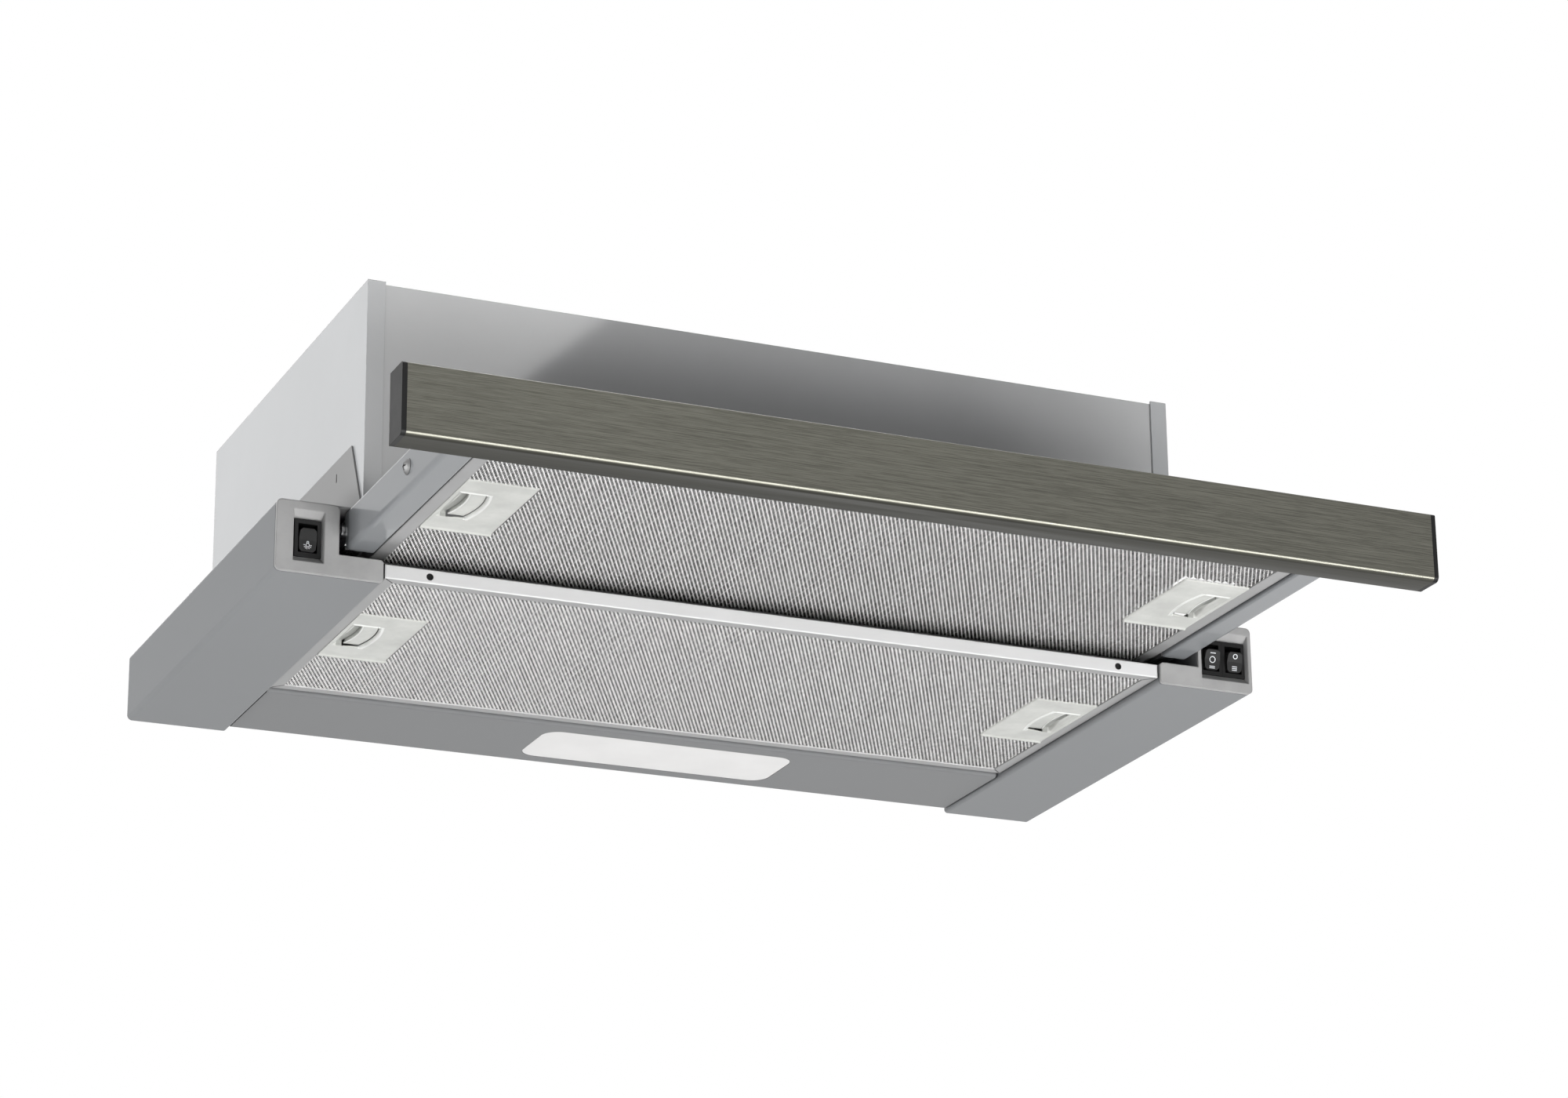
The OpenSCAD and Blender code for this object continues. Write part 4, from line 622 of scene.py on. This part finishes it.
link(shake.outputs["Geometry"], clear.inputs["Geometry"])
link(calc("MAXIMUM", calc("MULTIPLY", outwards, beside_plate), past_window), clear.inputs["Selection"])
coat = add("GeometryNodeSetMaterial")
link(clear.outputs["Geometry"], coat.inputs["Geometry"])
link(given["Material"], coat.inputs["Material"])
link(coat.outputs["Geometry"], result.inputs["Geometry"])


def add_net(name, frame_node, plate_node, rim, depth, strand_width, body, seed):
    """Fills the window of a filter frame of the given depth with the net, a hair clear of its edges."""
    low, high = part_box(frame_node)
    plate_low, plate_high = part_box(plate_node)
    middle = Vector((0, low.y + depth / 2, low.z + NET_LIFT))
    width = 2 * (high.x - rim) - SIDE_PLAY
    window = depth - 2 * rim - END_PLAY
    strands = round(width / STRAND_PITCH)
    holder = bpy.data.objects.new(name + "_source", bpy.data.meshes.new(name + "_source"))
    bpy.context.collection.objects.link(holder)
    modifier = holder.modifiers.new("net", "NODES")
    modifier.node_group = net_tree
    values = {"Depth": window, "Cells": round(window / CELL_LENGTH), "Strands": strands,
              "Strand Pitch": width / strands, "Strand Width": strand_width,
              "Ridge": RIDGE_HEIGHT, "Twist": TWIST_HEIGHT,
              "Plate Inner X": min(abs(plate_low.x), abs(plate_high.x)) - PLATE_PLAY,
              "Plate Half Length": PLATE_HALF_LENGTH,
              "Plate Y": (plate_low.y + plate_high.y) / 2 - middle.y,
              "Seed": seed, "Material": strand_metal}
    for label, value in values.items():
        modifier[sockets[label]] = value
    holder.update_tag()
    bpy.context.view_layer.update()
    mesh = bpy.data.meshes.new_from_object(holder.evaluated_get(bpy.context.evaluated_depsgraph_get()))
    mesh.name = name
    bpy.data.objects.remove(holder)
    mesh.transform(Matrix.Translation(middle))
    add_piece(mesh, [], body)


add_net("rear_filter_net", "rear_filter_frame", "rear_right_latch_plate", REAR_RIM, REAR_DEPTH,
        strand_width=0.00106, body="hood", seed=3)
add_net("front_filter_net", "front_filter_frame", "front_right_latch_plate", FRONT_RIM, FRONT_DEPTH,
        strand_width=0.0008, body="carriage", seed=8)

# LATCH PLATES AND TABS
# A pale moulded plate is set in each end of each filter, with a finger recess and a latch behind it. The
# latch is a sprung tab with a curved edge and a bolt that leaves the side of the filter. The recess is
# rougher than the plate and painted darker as painted shade, and the beads are painted lighter as
# highlights.
latch_plastic = moulded("latch_plastic", value=177, warm=0.02, roughness=0.2, grain=1800.0, green=0.03)
# painted shade: the scoop of the finger recess is painted darker than the plate
scoop_painted_shade = moulded("scoop_painted_shade", value=140, warm=0.02, roughness=0.5, grain=900.0, green=0.04)
# painted highlight: the beads along the recess and the tab are painted lighter than the plate
edge_painted_highlight = moulded("edge_painted_highlight", value=204, warm=0.01, roughness=0.2, grain=1800.0, green=0.02)
paint([place_name + "_" + side_name + "_latch" + ending for ending in ("_plate", "")
       for place_name in ("rear", "front") for side_name in ("left", "right")], latch_plastic)

# The face of each plate is drawn as a moulding in millimetres: u runs inwards from the plate's outer edge,
# v from front to back. The finger recess ends in an arc with a bead along it, its outer half is a scoop, and
# the rear edge of the plate turns down into a lip. A FADE is the length over which a form comes in.
WINDOW_EDGE = {"rear": 230.0, "front": 232.0}
PLATE_WIDTH, PLATE_HALF, FACE_THICKNESS = 40.35, 38.15, 0.6
RECESS_OUTER, RECESS_INNER, RECESS_HALF = 2.2, 20.7, 19.0
TAB_OUTER, ARC_FACTOR = 10.8, 123.4
BEAD_WIDTH, BEAD_HEIGHT, BEAD_GAP = 1.7, 0.5, 0.5
BEAD_HALF, BEAD_END_FADE = 20.6, 1.2
FRONT_BEAD, FRONT_BEAD_START, FRONT_START_FADE, FRONT_END_FADE = -18.9, 1.8, 1.5, 1.4
ARC_BEAD_HALF, ARC_BEAD_SHARE = 20.3, 0.12
LIP_START, LIP_FADE, LIP_HEIGHT = 36.0, 1.7, 0.9
OUTER_EDGE, OUTER_FADE, OUTER_HEIGHT = 0.9, 0.8, 0.3
FRONT_EDGE, INNER_EDGE, EDGE_FADE, EDGE_DROP = -37.3, 39.5, 0.7, 0.5
RECESS_RIM, RECESS_FADE = 0.3, 0.5
SCOOP_STEP, STEP_FADE, SCOOP_DROP, DROP_FADE = 1.5, 3.0, 1.6, 1.4
TAB_WALL, TAB_FACE = 1.2, 1.6
SLIT_FRONT, SLIT_MIDDLE, SLIT_BACK = -17.5, -10.6, -9.7
SLIT_SHARE, SLIT_FOOT_SHARE, SCOOP_SHARE = 0.88, 0.5, 0.4
TAB_BEAD_HALF, TAB_BEAD_INSET, TAB_BEAD_RADIUS, TAB_BEAD_SIDES = 17.6, 0.6, 0.52, 10
# where the rows of the face start, from front to back, and how far apart they are: closer where it bends
ROW_STOPS = ((-PLATE_HALF, 0.35), (-36.6, 2.6), (-21, 0.28), (-19.05, 1), (-18.98, 1), (-18.8, 1),
             (-18.5, 1.3), (-10.6, 1), (-10.1, 1), (-9.7, 1.3), (18.5, 1), (18.8, 1), (18.98, 1), (19.05, 1),
             (19.3, 0.5), (21.3, 2.4), (36, 0.25), (PLATE_HALF, 1))
# the same across the face, as shares of its four strips: border, scoop, tab hole and inner plate
COLUMN_STOPS = (((0, 0.18), (1, 1)), ((0, 1), (0.03, 1), (0.06, 0.045), (0.9, 1), (0.95, 1), (1, 1)),
                ((0, 1), (1, 1)), ((0, 1), (0.045, 0.011), (0.13, 0.08), (0.955, 0.012), (1, 1)))
SCOOP_STRIP, HOLE_STRIP, INNER_STRIP = 1, 2, 3
PLATE_FINISH, SCOOP_SHADE_FINISH, EDGE_HIGHLIGHT_FINISH = 0, 1, 2


def smooth(t):
    """Smooth step from 0 to 1."""
    t = min(max(t, 0.0), 1.0)
    return t * t * (3 - 2 * t)


def bead(t):
    """A rounded ridge over t from 0 to 1."""
    return math.sin(math.pi * t) ** 2 if 0 < t < 1 else 0.0


def arc_bow(v):
    """How far the arc of the recess and of the tab has drawn back at v."""
    return min(v * v, RECESS_HALF ** 2) / ARC_FACTOR


def drop_line(v):
    """Where the scoop drops: 5.4 mm in, but 2.2 less at the back and 1.6 more in front."""
    return 5.4 - 2.2 * smooth((v + 4) / 22) + 1.6 * smooth((-6 - v) / 10)


def plate_depth(u, v):
    """How far the moulded face lies behind the plate's flat face, or before it where negative."""
    arc = RECESS_INNER - arc_bow(v)
    inner = bead((u - arc - BEAD_GAP) / BEAD_WIDTH) * smooth((BEAD_HALF - abs(v)) / BEAD_END_FADE)
    front = bead((FRONT_BEAD - v) / BEAD_WIDTH) * smooth((u - FRONT_BEAD_START) / FRONT_START_FADE)
    front *= smooth((arc + BEAD_WIDTH - u) / FRONT_END_FADE)
    depth = -BEAD_HEIGHT * max(inner, front) - LIP_HEIGHT * smooth((v - LIP_START) / LIP_FADE)
    # the other edges of the plate are rounded: the outer one stands proud, the front and inner ones go in
    depth -= OUTER_HEIGHT * smooth((OUTER_EDGE - u) / OUTER_FADE)
    depth += EDGE_DROP * smooth((FRONT_EDGE - v) / EDGE_FADE)
    depth += EDGE_DROP * smooth((u - INNER_EDGE) / EDGE_FADE)
    if RECESS_OUTER < u < arc and abs(v) < RECESS_HALF:
        depth = RECESS_RIM + SCOOP_STEP * smooth((u - RECESS_OUTER) / STEP_FADE)
        depth += SCOOP_DROP * smooth((u - drop_line(v)) / DROP_FADE)
        depth *= smooth((RECESS_HALF - abs(v)) / RECESS_FADE)
    return depth


def split_run(start, end, step):
    """Evenly spaced numbers from start to just before end."""
    count = max(1, round((end - start) / step))
    return [start + (end - start) * i / count for i in range(count)]


def spread(stops):
    """Numbers from the first stop to the last. A stop is where a run starts and how far apart it is."""
    runs = [split_run(start, end, step) for (start, step), (end, _) in zip(stops, stops[1:])]
    return sum(runs, []) + [stops[-1][0]]


def finish_at(strip, share, v):
    """The finish of one small face: scoop with painted shade, bead with painted highlight, or plain plate.
    """
    if strip in (SCOOP_STRIP, HOLE_STRIP) and -BEAD_HALF < v < -RECESS_HALF:
        return EDGE_HIGHLIGHT_FINISH
    if strip == SCOOP_STRIP and abs(v) < RECESS_HALF and share > SCOOP_SHARE:
        return SCOOP_SHADE_FINISH
    if strip == INNER_STRIP and share < ARC_BEAD_SHARE and abs(v) < ARC_BEAD_HALF:
        return EDGE_HIGHLIGHT_FINISH
    return PLATE_FINISH


def add_latch_face(side, place, body):
    """The moulded face of one latch plate, a thin shell, in the place of its CAD node."""
    plate_node = place + "_" + side + "_latch_plate"
    low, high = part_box(plate_node)
    outwards = 1 if side == "right" else -1
    middle_y, face_z = (low.y + high.y) / 2 * 1000, low.z * 1000
    rows = spread(ROW_STOPS)
    columns = [(strip, share) for strip, stops in enumerate(COLUMN_STOPS) for share in spread(stops)[:-1]]
    columns.append((INNER_STRIP, 1.0))
    bm = bmesh.new()
    grid = []
    for v in rows:
        edges = (0, RECESS_OUTER, TAB_OUTER - arc_bow(v), RECESS_INNER - arc_bow(v), PLATE_WIDTH)
        points = []
        for strip, share in columns:
            u = edges[strip] + (edges[strip + 1] - edges[strip]) * share
            z = face_z + plate_depth(u, v)
            if strip == INNER_STRIP and share == 0 and abs(v) < RECESS_HALF:
                z = face_z + TAB_WALL
            x = outwards * (WINDOW_EDGE[place] - u)
            points.append(bm.verts.new((x / 1000, (middle_y + v) / 1000, z / 1000)))
        grid.append(points)
    for j in range(len(rows) - 1):
        for i in range(len(columns) - 1):
            strip, share = columns[i]
            v = (rows[j] + rows[j + 1]) / 2
            hole = strip == HOLE_STRIP and abs(v) < RECESS_HALF
            slit = strip == SCOOP_STRIP and (share > SLIT_SHARE and SLIT_FRONT < v < SLIT_BACK
                                             or share > SLIT_FOOT_SHARE and SLIT_MIDDLE < v < SLIT_BACK)
            if not hole and not slit:
                quad = bm.faces.new((grid[j][i], grid[j][i + 1], grid[j + 1][i + 1], grid[j + 1][i]))
                quad.material_index = finish_at(strip, share, v)
    bmesh.ops.delete(bm, geom=[vertex for vertex in bm.verts if not vertex.link_faces], context="VERTS")
    bm.normal_update()
    if sum(quad.normal.z for quad in bm.faces) > 0:
        bmesh.ops.reverse_faces(bm, faces=bm.faces)
    bmesh.ops.solidify(bm, geom=bm.faces, thickness=FACE_THICKNESS / 1000)
    bmesh.ops.recalc_face_normals(bm, faces=bm.faces)
    for quad in bm.faces:
        quad.smooth = True
    finishes = [latch_plastic, scoop_painted_shade, edge_painted_highlight]
    piece = add_piece(mesh_of(plate_node + "_face", bm), finishes, body)
    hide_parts(plate_node)
    add_tab_bead(side, place, outwards, middle_y, face_z)


def add_tab_bead(side, place, outwards, middle_y, face_z):
    """The round bead along the bowed outer edge of a finger tab, which slides with it, painted lighter as a
    painted highlight.
    """
    bm = bmesh.new()
    angles = [math.tau * k / TAB_BEAD_SIDES for k in range(TAB_BEAD_SIDES)]
    rings = []
    for v in spread(((-TAB_BEAD_HALF, 1.1), (TAB_BEAD_HALF, 1))):
        u = TAB_OUTER + TAB_BEAD_INSET - arc_bow(v)
        middle = Vector((outwards * (WINDOW_EDGE[place] - u), middle_y + v, face_z + TAB_FACE)) / 1000
        rings.append([bm.verts.new(middle + Vector((math.cos(a), 0, math.sin(a))) * TAB_BEAD_RADIUS / 1000)
                      for a in angles])
    for first, second in zip(rings, rings[1:]):
        for k in range(TAB_BEAD_SIDES):
            j = (k + 1) % TAB_BEAD_SIDES
            bm.faces.new((first[k], first[j], second[j], second[k]))
    bm.faces.new(rings[0])
    bm.faces.new(rings[-1])
    bmesh.ops.recalc_face_normals(bm, faces=bm.faces)
    for face in bm.faces:
        face.smooth = len(face.verts) == 4
    add_piece(mesh_of(place + "_" + side + "_tab_bead", bm), [edge_painted_highlight], place + "_" + side + "_latch")


for place_name, body_name in (("rear", "hood"), ("front", "carriage")):
    for side_name in ("left", "right"):
        add_latch_face(side_name, place_name, body_name)

# LIGHT STRIP
# The strip behind the rear filter is folded from coated sheet, like the housings. A frosted lens is set into
# it from above and scatters the light softly. The tubular bulb in its holder lies over the lens.
strip_paint = painted_sheet("strip_paint", value=114, warm=-0.018, roughness=0.4)
paint(["light_strip"], strip_paint)
frosted, tree, shader, coords = new_material("frosted_lens", metallic=0.0, roughness=0.5)
set_inputs(shader, {"Subsurface Weight": 0.15, "Subsurface Radius": (0.002, 0.002, 0.002)})
haze = add_noise(tree, coords, scale=30.0)
add_tint(tree, shader, haze, grey(208, 0.01), grey(213, 0.01))
prisms = add_noise(tree, coords, scale=1500.0, detail=1.0)
add_bump(tree, shader, prisms, distance=0.00003, strength=0.3)
paint(["lamp_lens"], frosted)
holder_plastic = moulded("holder_plastic", value=214, warm=0.01, roughness=0.4)
paint(["lamp_holder"], holder_plastic)
bulb_glass, tree, shader, coords = new_material("bulb_glass", metallic=0.0, roughness=0.3)
shader.inputs["Transmission Weight"].default_value = 0.5
milkiness = add_noise(tree, coords, scale=50.0, detail=2.0)
add_tint(tree, shader, milkiness, grey(224, 0.02), grey(236, 0.02))
paint(["lamp_bulb"], bulb_glass)

# BLOWER, DUCT AND ELECTRICS
# The blower's casing is moulded in two dark halves, round the aluminium wheel. The black duct collar with
# its two flaps is screwed to the top plate. The capacitor, an aluminium can, stands on the base frame, and
# the pale terminal box hangs under the top plate.
casing_plastic = moulded("casing_plastic", value=62, warm=0.0, roughness=0.5, grain=700.0)
paint(["scroll_left", "scroll_right"], casing_plastic)
black_plastic = moulded("black_plastic", value=34, warm=0.0, roughness=0.45, grain=900.0)
paint(["duct_collar", "damper_front", "damper_rear", "cable_gland"], black_plastic)
terminal_plastic = moulded("terminal_plastic", value=176, warm=0.0, roughness=0.5)
paint(["terminal_box"], terminal_plastic)
wheel_metal = plain_metal("wheel_aluminium", value=190, warm=0.0, roughness=0.35, scale=90.0)
paint(["fan_wheel"], wheel_metal)
motor_metal = plain_metal("motor_aluminium", value=176, warm=0.0, roughness=0.5, scale=400.0)
paint(["motor_case"], motor_metal)
can_metal = plain_metal("capacitor_aluminium", value=205, warm=0.0, roughness=0.3, stretch=(2, 2, 0.2),
                        scale=300.0)
paint(["capacitor"], can_metal)

# FLOOR
# A plain pale floor lies well below the hood. Seen directly, in a reflection or through glass it is white,
# and to all other rays it is a matt surface, which keeps the object's light plain.
FLOOR_HALF, FLOOR_HEIGHT = 30.0, -2.6
floor_bm = bmesh.new()
bmesh.ops.create_grid(floor_bm, x_segments=1, y_segments=1, size=FLOOR_HALF)
floor_mesh = mesh_of("floor", floor_bm)
floor_mesh.transform(Matrix.Translation((0, 0, FLOOR_HEIGHT)))
floor = bpy.data.objects.new("floor", floor_mesh)
bpy.context.collection.objects.link(floor)


def seen_directly(tree):
    """1 for a ray that shows the background itself: to the camera, in a reflection or through glass."""
    rays = tree.nodes.new("ShaderNodeLightPath")
    either = tree.nodes.new("ShaderNodeMath")
    any_of_three = tree.nodes.new("ShaderNodeMath")
    either.operation = any_of_three.operation = "MAXIMUM"
    tree.links.new(rays.outputs["Is Camera Ray"], either.inputs[0])
    tree.links.new(rays.outputs["Is Glossy Ray"], either.inputs[1])
    tree.links.new(either.outputs[0], any_of_three.inputs[0])
    tree.links.new(rays.outputs["Is Transmission Ray"], any_of_three.inputs[1])
    return any_of_three.outputs[0]


def show_white(tree, surface, glow, output):
    """Shows the glow to a ray that sees the background directly, and the surface to all others."""
    choose = tree.nodes.new("ShaderNodeMixShader")
    tree.links.new(seen_directly(tree), choose.inputs["Fac"])
    tree.links.new(surface, choose.inputs[1])
    tree.links.new(glow, choose.inputs[2])
    tree.links.new(choose.outputs["Shader"], output.inputs["Surface"])


floor_white, tree, shader, coords = new_material("floor_white", metallic=0.0, roughness=0.9)
faint_shade = add_noise(tree, coords, scale=0.5)
add_tint(tree, shader, faint_shade, grey(236), grey(240))
glow = tree.nodes.new("ShaderNodeEmission")
set_inputs(glow, {"Color": (1, 1, 1, 1), "Strength": 1.0})
show_white(tree, shader.outputs["BSDF"], glow.outputs["Emission"], tree.nodes["Material Output"])
floor_mesh.materials.append(floor_white)

# WORLD
# The same white stands all round for a ray that sees it directly.
# All other rays get a weak, slightly cool light from every side.
world = bpy.data.worlds.new("studio")
bpy.context.scene.world = world
world.use_nodes = True
tree = world.node_tree
tree.nodes.clear()
world_output = tree.nodes.new("ShaderNodeOutputWorld")
white = tree.nodes.new("ShaderNodeBackground")
set_inputs(white, {"Color": (1, 1, 1, 1), "Strength": 1.0})
around = tree.nodes.new("ShaderNodeBackground")
set_inputs(around, {"Color": (0.93, 0.96, 1, 1), "Strength": 0.09})
show_white(tree, around.outputs[0], white.outputs[0], world_output)

# LAMPS
# Soft rectangular lamps. The side light makes the left faces bright, the two from below light the filters
# and the undersides, and the low one fades out over the front plate behind the panel's edge. Others fill the
# left corner, the right side, the back and the top, and the small card shines back from the front plate.


def add_light(name, place, target, size, power, roll=0.0):
    """A soft rectangular lamp that faces the target, turned by roll about its own axis."""
    data = bpy.data.lights.new(name, "AREA")
    data.shape = "RECTANGLE"
    data.size, data.size_y = size
    data.energy = power
    lamp = bpy.data.objects.new(name, data)
    aim = (Vector(target) - Vector(place)).to_track_quat("-Z", "Y").to_matrix().to_4x4()
    lamp.matrix_world = Matrix.Translation(place) @ aim @ Matrix.Rotation(math.radians(roll), 4, "Z")
    lamp.visible_camera = False
    bpy.context.collection.objects.link(lamp)


add_light("side_light", place=(-2.8, 0.1, -0.2), target=(0, -0.2, 0), size=(1.8, 1.8), power=68)
add_light("low_light", place=(1.0, -2.5, -1.28), target=(0.1, -0.3, 0.05), size=(2.0, 0.6), power=62)
add_light("under_light", place=(0.1, -1.55, -2.0), target=(0, -0.25, -0.03), size=(2.4, 1.6), power=37)
add_light("left_low", place=(-1.6, -1.6, -1.0), target=(0, -0.3, 0), size=(0.8, 0.8), power=5)
add_light("right_side", place=(2.6, 0.4, 0.1), target=(0, -0.1, 0), size=(1.4, 1.4), power=22)
add_light("back_light", place=(0.6, 2.4, 1.6), target=(0, -0.1, 0.1), size=(2.0, 2.0), power=40)
add_light("top_light", place=(0.0, 0.5, 2.6), target=(0, -0.1, 0.1), size=(1.8, 1.8), power=30)
add_light("card", place=(0.409, -2.0, 0.909), target=(-0.1, -0.29, 0.12), size=(0.4, 0.22), power=1.9,
          roll=39)

# CAMERA
# It stands where the photograph was taken from, to the left of the hood and below it.
# Its place, its directions and its lens were solved from the straight edges of the hood.
CAMERA_PLACE = (-0.9457, -2.4309, -0.8222)
CAMERA_AHEAD = (0.38069, 0.86188, 0.33502)
CAMERA_RIGHT = (0.91617, -0.40066, -0.01033)
LENS_MM, SENSOR_MM = 100.79, 36.0
camera_data = bpy.data.cameras.new("camera")
camera_data.sensor_fit = "HORIZONTAL"
camera_data.sensor_width = SENSOR_MM
camera_data.lens = LENS_MM
camera = bpy.data.objects.new("camera", camera_data)
bpy.context.collection.objects.link(camera)
ahead = Vector(CAMERA_AHEAD).normalized()
up = Vector(CAMERA_RIGHT).normalized().cross(ahead).normalized()
right = ahead.cross(up).normalized()
camera.matrix_world = Matrix.Translation(CAMERA_PLACE) @ Matrix((right, up, -ahead)).transposed().to_4x4()
bpy.context.scene.camera = camera
bpy.context.scene.view_settings.view_transform = "Standard"
